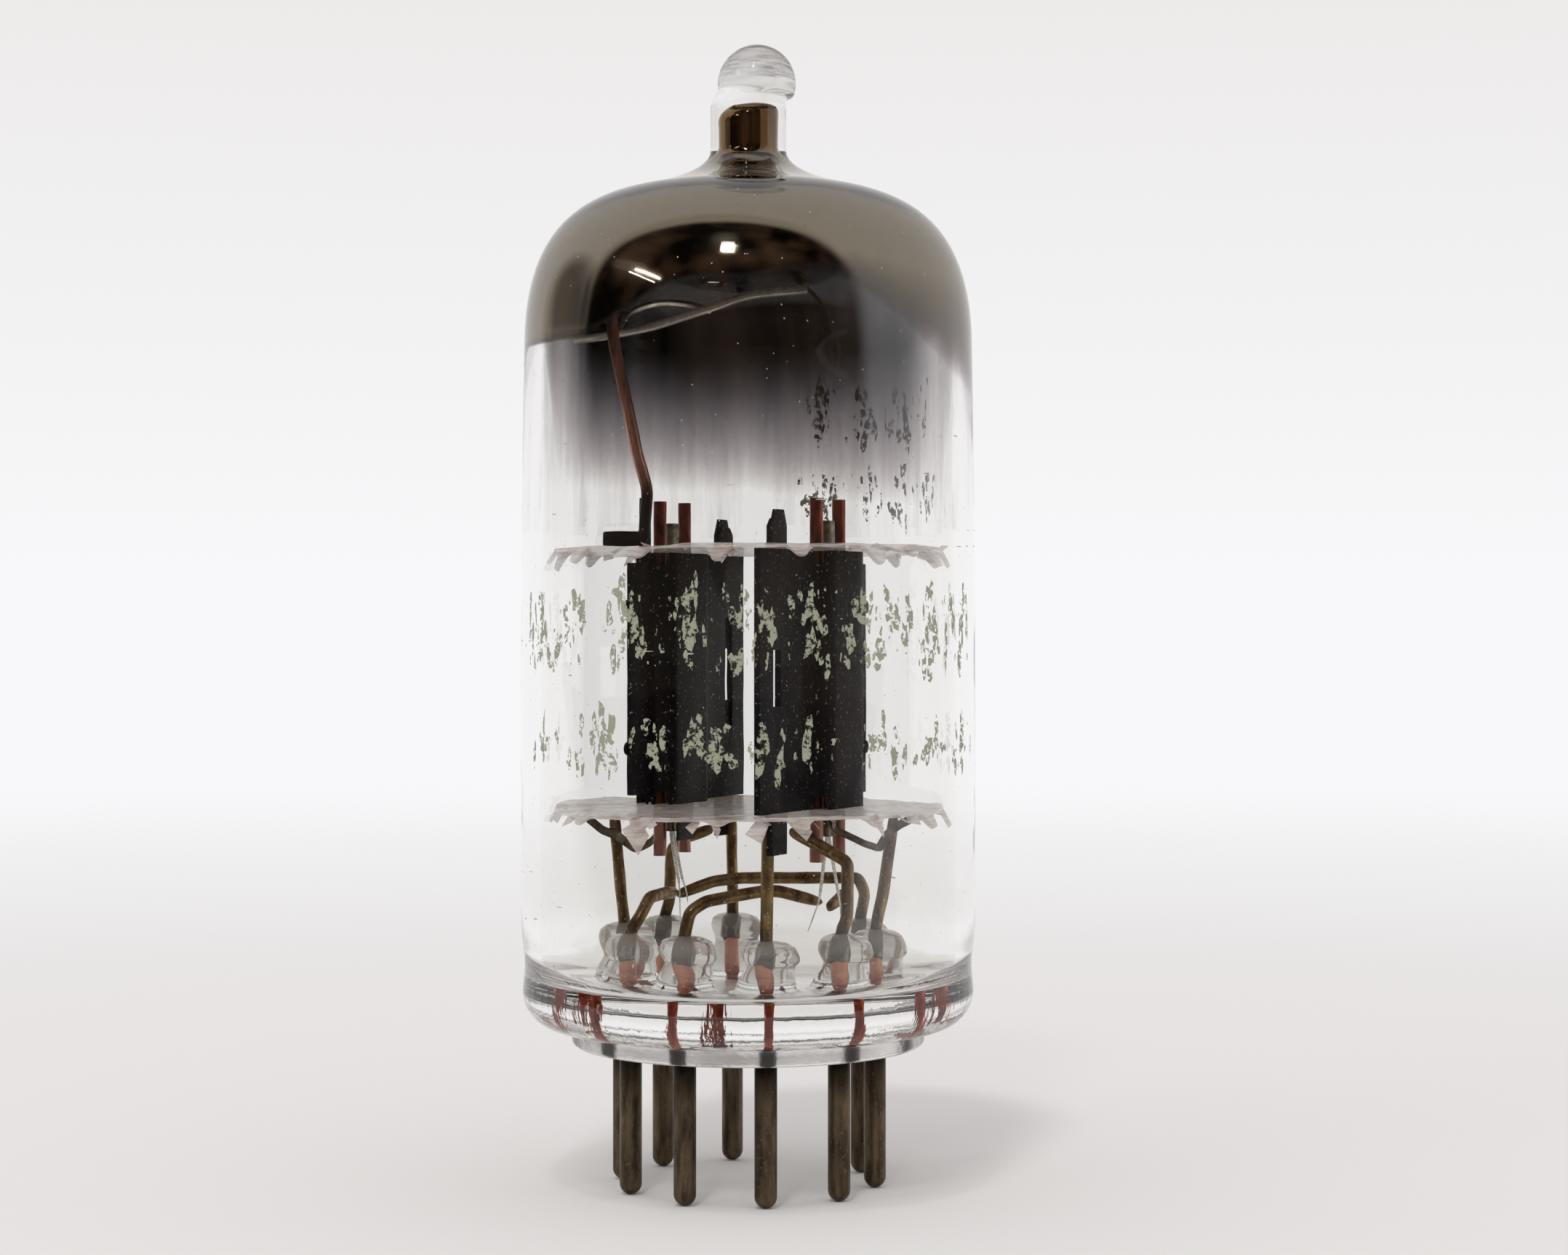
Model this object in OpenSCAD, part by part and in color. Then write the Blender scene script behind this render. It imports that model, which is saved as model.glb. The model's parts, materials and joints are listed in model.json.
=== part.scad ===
// Twin triode tube with a nine-pin glass base, standing on its pins.
// X runs across the two triodes, Y along the wide faces of their anodes, Z up.
// The origin is on the axis, level with the pin tips.

/* [Base] */
// Diameter of the circle that the pins stand on
pin_circle_d = 11.89; // [11.5:0.05:12.3]
// Diameter of a pin
pin_d = 1.016; // [0.95:0.01:1.06]
// Length of a pin below the glass
pin_len = 6.55; // [5.5:0.05:8]
// Depth of a pin's root in the glass
pin_root = 0.65; // [0.4:0.05:1]
// Diameter of a pin's root
root_d = 0.7; // [0.62:0.01:0.72]
// Gap between the shoulder of a pin and the glass
shoulder_gap = 0.12; // [0.08:0.01:0.2]
// Diameter of the copper-clad wire that is sealed in the glass
seal_wire_d = 0.55; // [0.4:0.05:0.6]
// Diameter of the wires between the base and the cage
lead_d = 0.56; // [0.4:0.02:0.62]
// Thickness of the glass disc that carries the pins
disc_t = 3; // [2.7:0.05:3.6]
// Height of the boss below the rolled edge of the bulb
boss_h = 0.9; // [0.6:0.05:1.1]
// Distance of the seam of the disc and the bulb in from the side of the bulb
seam_inset = 1.66; // [1.5:0.02:1.8]
// Distance of the boss under the disc in from that seam
boss_inset = 0.7; // [0.6:0.02:1]
// Width of the glass bead that is run up around each wire
bead_d = 2.4; // [1.8:0.1:2.6]
// Height of that bead over the floor of the disc
bead_h = 2.2; // [1.6:0.05:2.4]

/* [Bulb] */
// Greatest outside diameter of the bulb
bulb_d = 21.12; // [20.8:0.04:22.2]
// Height of the glass over its flat underside
bulb_h = 46.45; // [45:0.25:49.5]
// Thickness of the glass wall
wall_t = 0.9; // [0.8:0.05:1]
// Height of the dome, up to the neck
dome_h = 9.16; // [8.8:0.05:10]
// Radius that the wall loses between its middle and the dome
wall_taper = 0.15; // [0:0.01:0.25]
// Depth of the waist that the base seam leaves in the wall
waist_depth = 0.17; // [0:0.01:0.3]
// Outside diameter of the neck
neck_d = 3.6; // [3.3:0.05:4]
// Height of the neck between the dome and the melted tip
neck_h = 2.5; // [2:0.1:3]
// Diameter of the melted tip
tip_d = 3.72; // [3.4:0.02:4]
// Height of the melted tip
tip_h = 2.44; // [2.2:0.02:2.8]
// Distance that the melted tip leans off the axis
tip_lean = 0.38; // [0:0.02:0.5]
// Thickness of the metal film inside the dome
film_t = 0.03; // [0.02:0.01:0.06]
// Height of the film, down from the top of the dome
film_h = 12.6; // [10:0.1:14]

/* [Cage] */
// Height of the lower mica over the floor of the glass disc
cage_rise = 7.85; // [7.6:0.05:8.6]
// Height of the anodes between the two micas
anode_h = 11.7; // [10.5:0.05:12.5]
// Thickness of a mica disc
mica_t = 0.25; // [0.2:0.01:0.3]
// Number of teeth round a mica
mica_teeth = 16; // [13:1:18]
// Length of a tooth
tooth_len = 1.05; // [0.9:0.05:1.15]
// Angle by which the teeth are bent down
tooth_droop = 58; // [50:1:64]
// Distance from the axis to the middle of each triode
unit_x = 4.12; // [3.9:0.02:4.3]
// Thickness of the anode sheet
sheet_t = 0.15; // [0.1:0.01:0.18]
// Width of the anode box across its two faces
box_w = 2.2; // [2:0.05:2.4]
// Room between a grid rod and the end of the anode box
grid_room = 0.2; // [0.15:0.01:0.3]
// Reach of the wide flange from the middle of the box
wide_reach = 6.8; // [6.4:0.05:7.2]
// Reach of the short flange from the middle of the box
short_reach = 3.8; // [3.5:0.05:4.2]
// Diameter of a grid rod
rod_d = 0.6; // [0.5:0.02:0.64]
// Distance between the two rods of a grid
rod_gap = 2.3; // [2.2:0.02:2.4]
// Distance between the turns of the grid wire
grid_pitch = 0.4; // [0.35:0.05:0.8]
// Width of a cathode sleeve
sleeve_w = 0.5; // [0.46:0.01:0.52]
// Length of a cathode sleeve's oval
sleeve_l = 0.8; // [0.76:0.02:0.9]
// Height of a grid rod over the upper mica
rod_rise = 2.15; // [1.5:0.05:2.4]
// Height of a cathode sleeve over the upper mica
sleeve_rise = 1.15; // [0.8:0.05:1.4]

/* [Getter] */
// Height of the getter's weld above the foot of the dome
getter_rise = 0.5; // [0:0.1:1.5]
// Diameter of the rod that holds the getter
holder_d = 0.55; // [0.45:0.05:0.65]
// Length of the getter channel
channel_l = 11; // [9.5:0.1:11.4]
// Width of the getter channel
channel_w = 0.9; // [0.7:0.05:1]
// Height of the getter channel
channel_h = 0.3; // [0.25:0.05:0.45]

/* [Fit] */
// Gap round a wire that is sealed in glass or passes a mica
fit = 0.01; // [0.005:0.001:0.02]
// Gap between two parts that are welded side by side
weld = 0.01; // [0.005:0.001:0.02]
// Gap round a sheet tab in its slot in a mica
slot_gap = 0.03; // [0.02:0.01:0.06]
// Gap between the teeth of a mica and the wall of the bulb
tooth_gap = 0.05; // [0.03:0.01:0.1]

/* [Hidden] */
$fn = 96;

pin_step = 36;
bulb_r = bulb_d / 2;
neck_r = neck_d / 2;
seam_r = bulb_r - seam_inset;
boss_r = seam_r - boss_inset;
root_r = root_d / 2;
wire_r = lead_d / 2;
bore_r = bulb_r - wall_t;
overall_h = pin_len + bulb_h;
floor_z = pin_len + disc_t;
seal_z = pin_len + pin_root;
lead_z = floor_z + bead_h * 0.57;
bead_top_z = floor_z + bead_h;
rim_z = pin_len + boss_h;
roll_z = rim_z + 1.7;
waist_z = floor_z + 0.75;
taper_z = floor_z + 11.45;
cage_z = floor_z + cage_rise;
neck_z = overall_h - tip_h - neck_h;
shoulder_z = neck_z - dome_h;
shoulder_r = bulb_r - wall_taper;
anode_z = cage_z + mica_t;
top_mica_z = anode_z + anode_h;
deck_z = top_mica_z + mica_t;
tooth_bite = 0.06;
mica_r = bore_r - tooth_gap - wall_taper / 2 - tooth_len * cos(tooth_droop) + tooth_bite;
box_x = box_w / 2;
box_y = rod_gap / 2 + rod_d / 2 + grid_room + sheet_t;
tab_y = 5;
tab_half = 0.68;

// Unit vector along v
function unit(v) = v / norm(v);

// Points of a cubic curve from a to d, pulled towards b and c, without its first point
function curve(a, b, c, d, steps) = [
    for (i = [1:steps]) let (t = i / steps, s = 1 - t)
    s * s * s * a + 3 * s * s * t * b + 3 * s * t * t * c + t * t * t * d
];

// A route through corner points, each inner corner rounded over the distance r on both sides
function bent(p, r, steps) = [
    p[0],
    for (i = [1:len(p) - 2])
        let (a = p[i] + r * unit(p[i - 1] - p[i]), c = p[i] + r * unit(p[i + 1] - p[i]))
        for (k = [0:steps]) let (t = k / steps)
        (1 - t) * (1 - t) * a + 2 * t * (1 - t) * p[i] + t * t * c,
    p[len(p) - 1]
];

// Direction of a route at its point i
function heading(p, i) = unit(p[min(i + 1, len(p) - 1)] - p[max(i - 1, 0)]);

// The part of v that is square to t, as a unit vector
function square_to(v, t) = unit(v - (v * t) * t);

// Side vectors carried along a route without spinning, from the first one given
function carried(p, first) = [
    for (i = 0, side = square_to(first, heading(p, 0)); i < len(p);
        i = i + 1, side = i < len(p) ? square_to(side, heading(p, i)) : side) side
];

// A closed outline carried along a route, as one solid
module sweep(p, outline, first = [0.3, 1, 0.2]) {
    side = carried(p, first);
    n = len(outline);
    rings = [
        for (i = [0:len(p) - 1]) let (up = cross(heading(p, i), side[i]))
        for (q = outline) p[i] + q[0] * side[i] + q[1] * up
    ];
    walls = [
        for (i = [0:len(p) - 2]) for (k = [0:n - 1]) let (j = (k + 1) % n)
        [i * n + k, (i + 1) * n + k, (i + 1) * n + j, i * n + j]
    ];
    first_cap = [for (k = [0:n - 1]) k];
    last_cap = [for (k = [n - 1:-1:0]) (len(p) - 1) * n + k];
    polyhedron(rings, concat([first_cap], walls, [last_cap]), convexity = 6);
}

// A round wire of the given radius along a route
module wire(p, r, sides = 8) {
    sweep(p, [for (k = [0:sides - 1]) r * [cos(360 * k / sides), sin(360 * k / sides)]]);
}

// Place of a pin, seen from above, numbered as on the base
function pin_place(n) = pin_circle_d / 2 * [sin(pin_step * (n - 5)), -cos(pin_step * (n - 5))];

// A point over a pin, and one beside it
function over_pin(n, z) = [pin_place(n)[0], pin_place(n)[1], z];
function near_pin(n, x, y, z) = over_pin(n, z) + [x, y, 0];

// Radius of the wall at height z: a waist over the seam and a slow taper to the dome
function wall_r(z) =
    bulb_r - waist_depth * exp(-pow((z - waist_z) / 1.3, 2))
    - wall_taper * pow(max(0, (z - taper_z) / (shoulder_z - taper_z)), 2);

// Radius of the inside of the wall at height z, over the floor's fillet
function inside_r(z) = bore_r - wall_taper * max(0, (z - taper_z) / (shoulder_z - taper_z));

// Outline of the dome and its flare into the neck, for an outside set back by t.
// The two curves meet at a point on the flat of the dome, where the slope is dome_slope.
dome_slope = 0.23;
meet_r = 5.75;
meet_z = neck_z - 1.99;
function set_back(p, direction, t) = p + t * unit(direction);
function dome_points(t) =
    let (
        foot = [shoulder_r - t, shoulder_z],
        meet = set_back([meet_r, meet_z], [-dome_slope, -1], t),
        end = [neck_r - t, neck_z]
    )
    concat(
        curve(foot, foot + [0, 4.06 - t / 3], meet + (3.17 - t / 3) * [1, -dome_slope], meet, 14),
        curve(meet, meet - (1.4 + t / 3) * [1, -dome_slope], end - [0, 1.02 + t / 3], end, 9)
    );

// The rolled edge from the seam to the wall, a quarter of an oval
function rolled_edge() = [
    for (a = [0:11.25:90])
    [seam_r + (wall_r(roll_z) - seam_r) * sin(a), roll_z - (roll_z - rim_z) * cos(a)]
];

// The fillet between the floor of the disc and the wall, from the wall inwards
fillet_r = 1.4;
function floor_fillet(low, high) = [
    for (a = [high:-7.5:low])
    [bore_r - fillet_r + fillet_r * sin(a), floor_z + fillet_r - fillet_r * cos(a)]
];
seam_angle = asin((seam_r - bore_r + fillet_r) / fillet_r);

module glass_bulb() {
    outside = concat(
        rolled_edge(),
        [for (z = [roll_z + 0.6:0.6:waist_z + 3]) [wall_r(z), z]],
        [for (i = [0:8]) let (z = taper_z + (shoulder_z - taper_z) * i / 8) [wall_r(z), z]],
        dome_points(0),
        [
            [neck_r, overall_h - tip_h - 0.4],
            [neck_r - 0.06, overall_h - tip_h - 0.1],
            [neck_r - 0.2, overall_h - tip_h + 0.2],
            [neck_r - 0.4, overall_h - tip_h + 0.4],
            [0, overall_h - tip_h + 0.4]
        ]
    );
    bore_end = neck_r - wall_t;
    inside = concat(
        [[0, overall_h - tip_h - 0.35], [bore_end * 0.6, overall_h - tip_h - 0.42]],
        [[bore_end * 0.92, overall_h - tip_h - 0.65], [bore_end, overall_h - tip_h - 1]],
        [for (i = [len(dome_points(0)) - 1:-1:0]) dome_points(wall_t)[i]],
        [[inside_r(shoulder_z), shoulder_z], [inside_r(taper_z), taper_z]],
        floor_fillet(seam_angle, 90)
    );
    color([0.86, 0.9, 0.89, 0.35])
    union() {
        rotate_extrude() polygon(concat(
            [[seam_r, floor_z + fillet_r - fillet_r * cos(seam_angle)]], outside, inside
        ));
        melted_tip();
    }
}

// The drop of glass where the neck was sealed off, leaning over one side of the neck
module melted_tip() {
    widest_z = overall_h - tip_h + 0.5;
    rise = overall_h - widest_z;
    lip = tip_d / 2;
    rotate([0, 0, 28]) translate([tip_lean, 0, 0]) rotate_extrude() polygon(concat(
        [[0, overall_h - tip_h - 0.02], [lip - 0.35, overall_h - tip_h]],
        [[lip - 0.12, overall_h - tip_h + 0.1], [lip - 0.02, overall_h - tip_h + 0.3]],
        [for (a = [0:9:90]) [lip * cos(a), widest_z + rise * sin(a)]]
    ));
}

module button_stem() {
    groove_z = rim_z + 0.15;
    recess_r = pin_circle_d / 2 - 1.6;
    color([0.84, 0.88, 0.87, 0.45])
    difference() {
        union() {
            rotate_extrude() polygon(concat(
                [[0, pin_len + 0.3], [recess_r, pin_len + 0.3], [recess_r + 0.5, pin_len]],
                [[boss_r - 0.25, pin_len], [boss_r - 0.07, pin_len + 0.07], [boss_r, pin_len + 0.25]],
                [[boss_r, groove_z - 0.12], [boss_r + 0.1, groove_z], [boss_r + 0.35, groove_z]],
                [[seam_r - 0.3, rim_z + 0.08], [seam_r - fit, rim_z]],
                [[seam_r - fit, floor_z + fillet_r - fillet_r * cos(seam_angle)]],
                floor_fillet(0, seam_angle - 7.5),
                [[0, floor_z + 0.1]]
            ));
            for (n = [1:9]) translate(over_pin(n, 0)) glass_bead(n);
        }
        for (n = [1:9]) translate(over_pin(n, 0)) {
            translate([0, 0, pin_len - 1]) cylinder(h = 1 + pin_root, d = root_d + 2 * fit);
            cylinder(h = lead_z, d = seal_wire_d + 2 * fit);
            translate([0, 0, lead_z]) cylinder(h = bead_h, d = lead_d + 2 * fit);
        }
    }
}

// The bead round one wire: a skirt, a waist and a round cap, each of a slightly different height
module glass_bead(n) {
    top = floor_z + bead_h * (1 - 0.12 * abs(sin(97 * n)));
    r = bead_d / 2;
    rotate_extrude() polygon(concat(
        [[0, floor_z - 1], [r + 0.3, floor_z - 1], [r + 0.3, floor_z + 0.08]],
        [[r, floor_z + 0.4], [r - 0.08, floor_z + 0.34 * bead_h]],
        [for (a = [-10:16:70]) [r * cos(a), top - 0.42 * bead_h * (1 - sin(a))]],
        [[0, top]]
    ));
}

module pin(n) {
    r = pin_d / 2;
    color([0.3, 0.27, 0.22])
    translate(over_pin(n, 0))
    rotate_extrude() polygon(concat(
        [for (a = [0:15:90]) [r * sin(a), r - r * cos(a)]],
        [[r, pin_len - shoulder_gap], [root_r, pin_len - shoulder_gap / 3], [root_r, seal_z]],
        [[0, seal_z]]
    ));
}

module seal_wire(n) {
    color([0.68, 0.36, 0.27])
    translate(over_pin(n, seal_z)) cylinder(h = lead_z - seal_z, d = seal_wire_d);
}

// Heights that the wires of the base share
bar_z = cage_z - 3.37;
tab_low_z = cage_z - 1.6;
rod_low_z = cage_z - 2.2;
beside_rod = rod_gap / 2 + rod_d / 2 + wire_r + weld;
beside_tab = unit_x - sheet_t - wire_r - weld;
heater_tail_z = cage_z - 3.75;

// Bent routes of the nine leads: up from the seal, then to the part that each one feeds
function lead_route(n) =
    n == 1 ? [[-beside_tab + 0.16, tab_y - 0.13, bar_z - 1.4],
        [-beside_tab, tab_y, cage_z - 1.5], [-beside_tab, tab_y, cage_z - 0.5]] :
    n == 2 ? [near_pin(2, 0.23, 0.09, bead_top_z + 1.1), near_pin(2, 0.35, 0.06, cage_z - 2.1),
        [-unit_x - 0.3, beside_rod, cage_z - 1.55],
        [-unit_x + 1.22, beside_rod + 0.1, cage_z - 1.05]] :
    n == 3 ? [near_pin(3, -0.15, -0.09, bar_z - 0.5), near_pin(3, -0.35, -0.2, cage_z - 1.3),
        near_pin(3, -0.43, -0.24, cage_z - 0.2)] :
    n == 4 ? [near_pin(4, 0.37, 0.41, bar_z - 1.25), near_pin(4, 0.45, 1.01, bar_z - 0.52),
        [-unit_x + 0.92, -2, bar_z - 0.45], [-unit_x + 0.44, -0.72, bar_z - 0.62]] :
    n == 5 ? [near_pin(5, 0.24, 0.12, bar_z - 0.85), near_pin(5, 0.66, 0.79, bar_z - 0.42),
        [unit_x - 1.82, -2.65, bar_z - 0.08], [unit_x - 1.37, -2.12, bar_z - 0.12],
        [unit_x - 0.08, -0.4, bar_z - 0.72]] :
    n == 6 ? [[beside_tab - 0.1, -tab_y + 0.08, bar_z - 1],
        [beside_tab, -tab_y, cage_z - 1.5], [beside_tab, -tab_y, cage_z - 0.5]] :
    n == 7 ? [near_pin(7, 0.23, 0.22, bead_top_z + 1.1), near_pin(7, 0.23, 0.24, cage_z - 2.1),
        [unit_x + 0.45, -beside_rod, cage_z - 1.4],
        [unit_x - 1.02, -beside_rod - 0.12, cage_z - 0.75]] :
    n == 8 ? [near_pin(8, 0.3, 0.14, bar_z - 0.6), near_pin(8, 0.65, 0.34, cage_z - 1.2),
        near_pin(8, 0.77, 0.4, cage_z - 0.2)] :
    [near_pin(9, 0.21, 0.13, bar_z - 0.75), near_pin(9, -0.07, -0.07, bar_z),
        [-unit_x + 2.72, 1.86, bar_z], [-unit_x + 1.62, 1.16, bar_z - 0.14],
        [-unit_x + 0.5, 0.34, bar_z - 0.62]];

module lead(n) {
    start = [over_pin(n, lead_z), over_pin(n, bead_top_z + 0.3)];
    color([0.4, 0.33, 0.2])
    wire(bent(concat(start, lead_route(n)), 0.28, 4), wire_r);
}

// Short wire from the heater bar to the second leg of the first heater
stub_end = [unit_x - 0.14, 0.86, bar_z - 1.08];
module heater_stub() {
    color([0.34, 0.27, 0.17])
    wire(
        bent([
            near_pin(9, -0.39, -0.41, bar_z - lead_d - weld), [unit_x - 0.67, 2.7, bar_z - 0.75],
            stub_end
        ], 0.36, 4), wire_r
    );
}

// One pressed half of an anode, for the triode on the +X side, facing away from the axis.
// The sheet runs along the wide flange, round three sides of the box and along the short flange.
module anode_half(outer) {
    r = sheet_t / 2;
    bend = 0.42;
    centre = bent([
        [r, -wide_reach], [r, -box_y - 0.12], [box_x - r, -box_y + r],
        [box_x - r, box_y - r], [r, box_y + 0.12], [r, short_reach]
    ], bend, 4);
    slot_half = outer ? 1.25 : 2.75;
    middle_z = anode_z + anode_h / 2;
    slot_z = middle_z + 0.13;
    tab_rise = outer ? 1.5 : 1.1;
    difference() {
        union() {
            translate([0, 0, anode_z]) linear_extrude(anode_h) polygon(sheet_outline(centre, r));
            flange_tab(tab_low_z, anode_z + 1);
            flange_tab(anode_z + anode_h - 1, deck_z + 0.45);
            translate([0, -tab_y, deck_z]) rotate([90, 0, 90]) linear_extrude(sheet_t)
                polygon([[-tab_half, 0], [tab_half, 0], [tab_half, 0.75], [0.4, tab_rise],
                    [-0.4, tab_rise], [-tab_half, 0.75]]);
            for (z = [middle_z + 3.35, middle_z - 3.2])
                translate([sheet_t / 2, short_reach - 0.14, z]) rotate([0, 90, 0])
                    cylinder(h = sheet_t / 2 + 0.08, r = 0.31);
        }
        translate([-1, -5.6, slot_z - slot_half]) cube([2, 0.7, 2 * slot_half]);
        for (z = [anode_z - 1, anode_z + anode_h - 0.5])
            translate([-1, box_y + 0.25, z]) cube([2, 3, 1.5]);
        for (side = [-1, 1], z = [anode_z - 1, anode_z + anode_h - 0.58])
            translate([sheet_t + 0.08, side > 0 ? box_y - 0.5 : -box_y - 0.5, z])
                cube([box_x - 2 * sheet_t - 0.15, 1, 1.58]);
    }
}

// A tab of the wide flange, between two heights
module flange_tab(low, high) {
    translate([0, -tab_y - tab_half, low]) cube([sheet_t, 2 * tab_half, high - low]);
}

// Outline of a sheet of half thickness r along a line in the plane
function sheet_outline(p, r) = concat(
    [for (i = [0:len(p) - 1]) p[i] + r * side_of(heading(p, i))],
    [for (i = [len(p) - 1:-1:0]) p[i] - r * side_of(heading(p, i))]
);
function side_of(d) = [d[1], -d[0]];

module anode_1_outer() {
    color([0.12, 0.12, 0.14]) translate([unit_x, 0, 0]) anode_half(true);
}

module anode_1_inner() {
    color([0.14, 0.12, 0.12]) translate([unit_x, 0, 0]) mirror([1, 0, 0]) anode_half(false);
}

// The second anode is the first one turned half round. Its outer half also has the tall tab
// that holds the getter, and its inner half a foot through the lower mica.
getter_tab_y = -1.95;
getter_tab_w = 0.8;
foot_y = -1.25;
foot_w = 1.3;
module anode_2_outer() {
    color([0.12, 0.12, 0.14]) {
        translate([-unit_x, 0, 0]) rotate([0, 0, 180]) anode_half(true);
        translate([-unit_x - sheet_t, getter_tab_y - getter_tab_w, anode_z + anode_h - 0.6])
            cube([sheet_t, getter_tab_w, mica_t + 2.85]);
    }
}

module anode_2_inner() {
    color([0.14, 0.12, 0.12]) {
        translate([-unit_x, 0, 0]) rotate([0, 0, 180]) mirror([1, 0, 0]) anode_half(false);
        translate([-unit_x + box_x - sheet_t, foot_y, cage_z - 1.45])
            cube([sheet_t, foot_w, 2.2]);
    }
}

module grid_rod(x, y) {
    color([0.55, 0.24, 0.19])
    translate([x, y, rod_low_z]) cylinder(h = deck_z + rod_rise - rod_low_z, d = rod_d);
}

// The fine wire of a grid, one helix round both rods
module grid_winding(x) {
    thin = 0.045;
    r = (rod_d / 2 + fit + thin) / cos(22.5);
    turns = floor((anode_h - 0.9) / grid_pitch);
    start = anode_z + (anode_h - turns * grid_pitch) / 2;
    path = [
        for (i = [0:turns * 10]) let (k = i % 10, end = k < 5 ? 1 : -1, a = -90 + 45 * (k % 5))
        [x - end * r * sin(a), end * (rod_gap / 2 + r * cos(a)), start + grid_pitch * i / 10]
    ];
    color([0.6, 0.36, 0.24]) wire(path, thin, 4);
}

// Oval of a cathode sleeve, grown by g
module sleeve_oval(g) {
    w = sleeve_w + 2 * g;
    straight = sleeve_l - sleeve_w;
    union() {
        square([w, straight], center = true);
        for (side = [-1, 1]) translate([0, side * straight / 2]) circle(d = w);
    }
}

module cathode(x) {
    low = cage_z - 1.1;
    color([0.45, 0.42, 0.36])
    translate([x, 0, low]) linear_extrude(deck_z + sleeve_rise - low) difference() {
        sleeve_oval(0);
        sleeve_oval(-0.06);
    }
}

// A folded heater: two coated legs in the sleeve, fanned out below it, and two bare tails
module heater(x, left_end, left_tail, right_end, right_tail) {
    coat_r = 0.085;
    bare_r = 0.035;
    leg_y = 0.14;
    out_z = cage_z - 1.3;
    top_z = deck_z + sleeve_rise - 0.3;
    color([0.86, 0.85, 0.8]) {
        wire(bent([
            left_end, [x, -leg_y, out_z], [x, -leg_y, top_z],
            [x, leg_y, top_z], [x, leg_y, out_z], right_end
        ], 0.13, 3), coat_r, 6);
        wire(concat([left_end + 0.1 * unit([x, -leg_y, out_z] - left_end)], left_tail), bare_r, 5);
        wire(concat([right_end + 0.1 * unit([x, leg_y, out_z] - right_end)], right_tail), bare_r, 5);
    }
}

module heater_1() {
    heater(
        unit_x,
        [unit_x + 0.1, -1, heater_tail_z + 0.02],
        [[unit_x + 0.08, -1.14, bar_z - 0.75], [unit_x - 0.35, -1.35, bar_z - 2]],
        [unit_x + 0.26, 0.62, heater_tail_z - 0.1],
        [[unit_x + 0.24, 0.9, bar_z - 1.1], [unit_x + 0.24, 0.95, bar_z - 2.1]]
    );
}

module heater_2() {
    heater(
        -unit_x,
        [-unit_x + 0.73, -0.6, heater_tail_z + 0.3],
        [[-unit_x + 0.82, -0.7, bar_z - 0.6], [-unit_x + 0.8, -0.6, bar_z - 2.3]],
        [-unit_x + 0.6, -0.1, heater_tail_z + 0.4],
        [[-unit_x + 0.8, 0, bar_z - 0.6], [-unit_x + 0.85, 0, bar_z - 1.1]]
    );
}

// Thin strip from a cathode sleeve to its lead
module cathode_ribbon_1() {
    start_x = unit_x + sleeve_w / 2 + weld + 0.03;
    color([0.5, 0.46, 0.38])
    sweep(bent([
        [start_x, 0, cage_z - 0.3], [start_x, 0.02, cage_z - 0.75],
        [start_x + 0.5, 0.42, cage_z - 1.05], [start_x + 1.1, 0.97, cage_z - 1.45],
        near_pin(8, 0.4, -0.39, cage_z - 1.68), near_pin(8, 0.65, -0.04, cage_z - 1),
        near_pin(8, 1.15, 0.16, cage_z - 0.6), near_pin(8, 1.55, 0.51, cage_z - 0.35)
    ], 0.14, 2), [[-0.03, -0.2], [0.03, -0.2], [0.03, 0.2], [-0.03, 0.2]], [1, 0, 0]);
}

module cathode_ribbon_2() {
    start_x = -unit_x - sleeve_w / 2 - weld - 0.03;
    color([0.5, 0.46, 0.38])
    sweep(bent([
        [start_x, 0, cage_z - 0.3], [start_x - 0.05, -0.1, cage_z - 0.9],
        [start_x - 0.39, -0.9, cage_z - 1.6], near_pin(3, 0.5, 0.24, cage_z - 1.9),
        near_pin(3, -0.05, -0.52, cage_z - 1.25), near_pin(3, -0.85, -0.62, cage_z - 1),
        near_pin(3, -1.75, -0.46, cage_z - 0.5)
    ], 0.14, 2), [[-0.03, -0.2], [0.03, -0.2], [0.03, 0.2], [-0.03, 0.2]], [1, 0, 0]);
}

// Toothed disc, punched for the rods, the sleeves and the tabs of the anodes
module mica(z) {
    color([0.72, 0.68, 0.65, 0.8])
    difference() {
        union() {
            translate([0, 0, z]) cylinder(h = mica_t, r = mica_r);
            for (k = [0:mica_teeth - 1]) rotate([0, 0, 360 * (k + 0.9) / mica_teeth])
                translate([
                    mica_r - tooth_bite - mica_t * sin(tooth_droop), 0,
                    z + mica_t * (1 - cos(tooth_droop))
                ]) rotate([0, tooth_droop, 0]) linear_extrude(mica_t) polygon([
                    [0, -0.76], [tooth_len * 0.35, -0.46], [tooth_len * 0.85, -0.24],
                    [tooth_len, -0.1], [tooth_len, 0.1], [tooth_len * 0.85, 0.24],
                    [tooth_len * 0.35, 0.46], [0, 0.76]
                ]);
        }
        for (side = [-1, 1]) rotate([0, 0, side > 0 ? 0 : 180]) {
            for (end = [-1, 1]) translate([unit_x, end * rod_gap / 2, z - 1])
                cylinder(h = mica_t + 2, d = rod_d + 2 * fit);
            translate([unit_x, 0, z - 1]) linear_extrude(mica_t + 2) sleeve_oval(fit);
            translate([unit_x - sheet_t, -tab_y - tab_half, z]) slot(2 * sheet_t, 2 * tab_half);
        }
        if (z > anode_z)
            translate([-unit_x - sheet_t, getter_tab_y - getter_tab_w, z]) slot(sheet_t, getter_tab_w);
        else
            translate([-unit_x + box_x - sheet_t, foot_y, z]) slot(sheet_t, foot_w);
    }
}

// Cutter of a slot through a mica for a tab of the given size
module slot(x, y) {
    translate([-slot_gap, -slot_gap, -1]) cube([x + 2 * slot_gap, y + 2 * slot_gap, mica_t + 2]);
}

module mica_top() {
    mica(top_mica_z);
}

module mica_bottom() {
    mica(cage_z);
}

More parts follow.
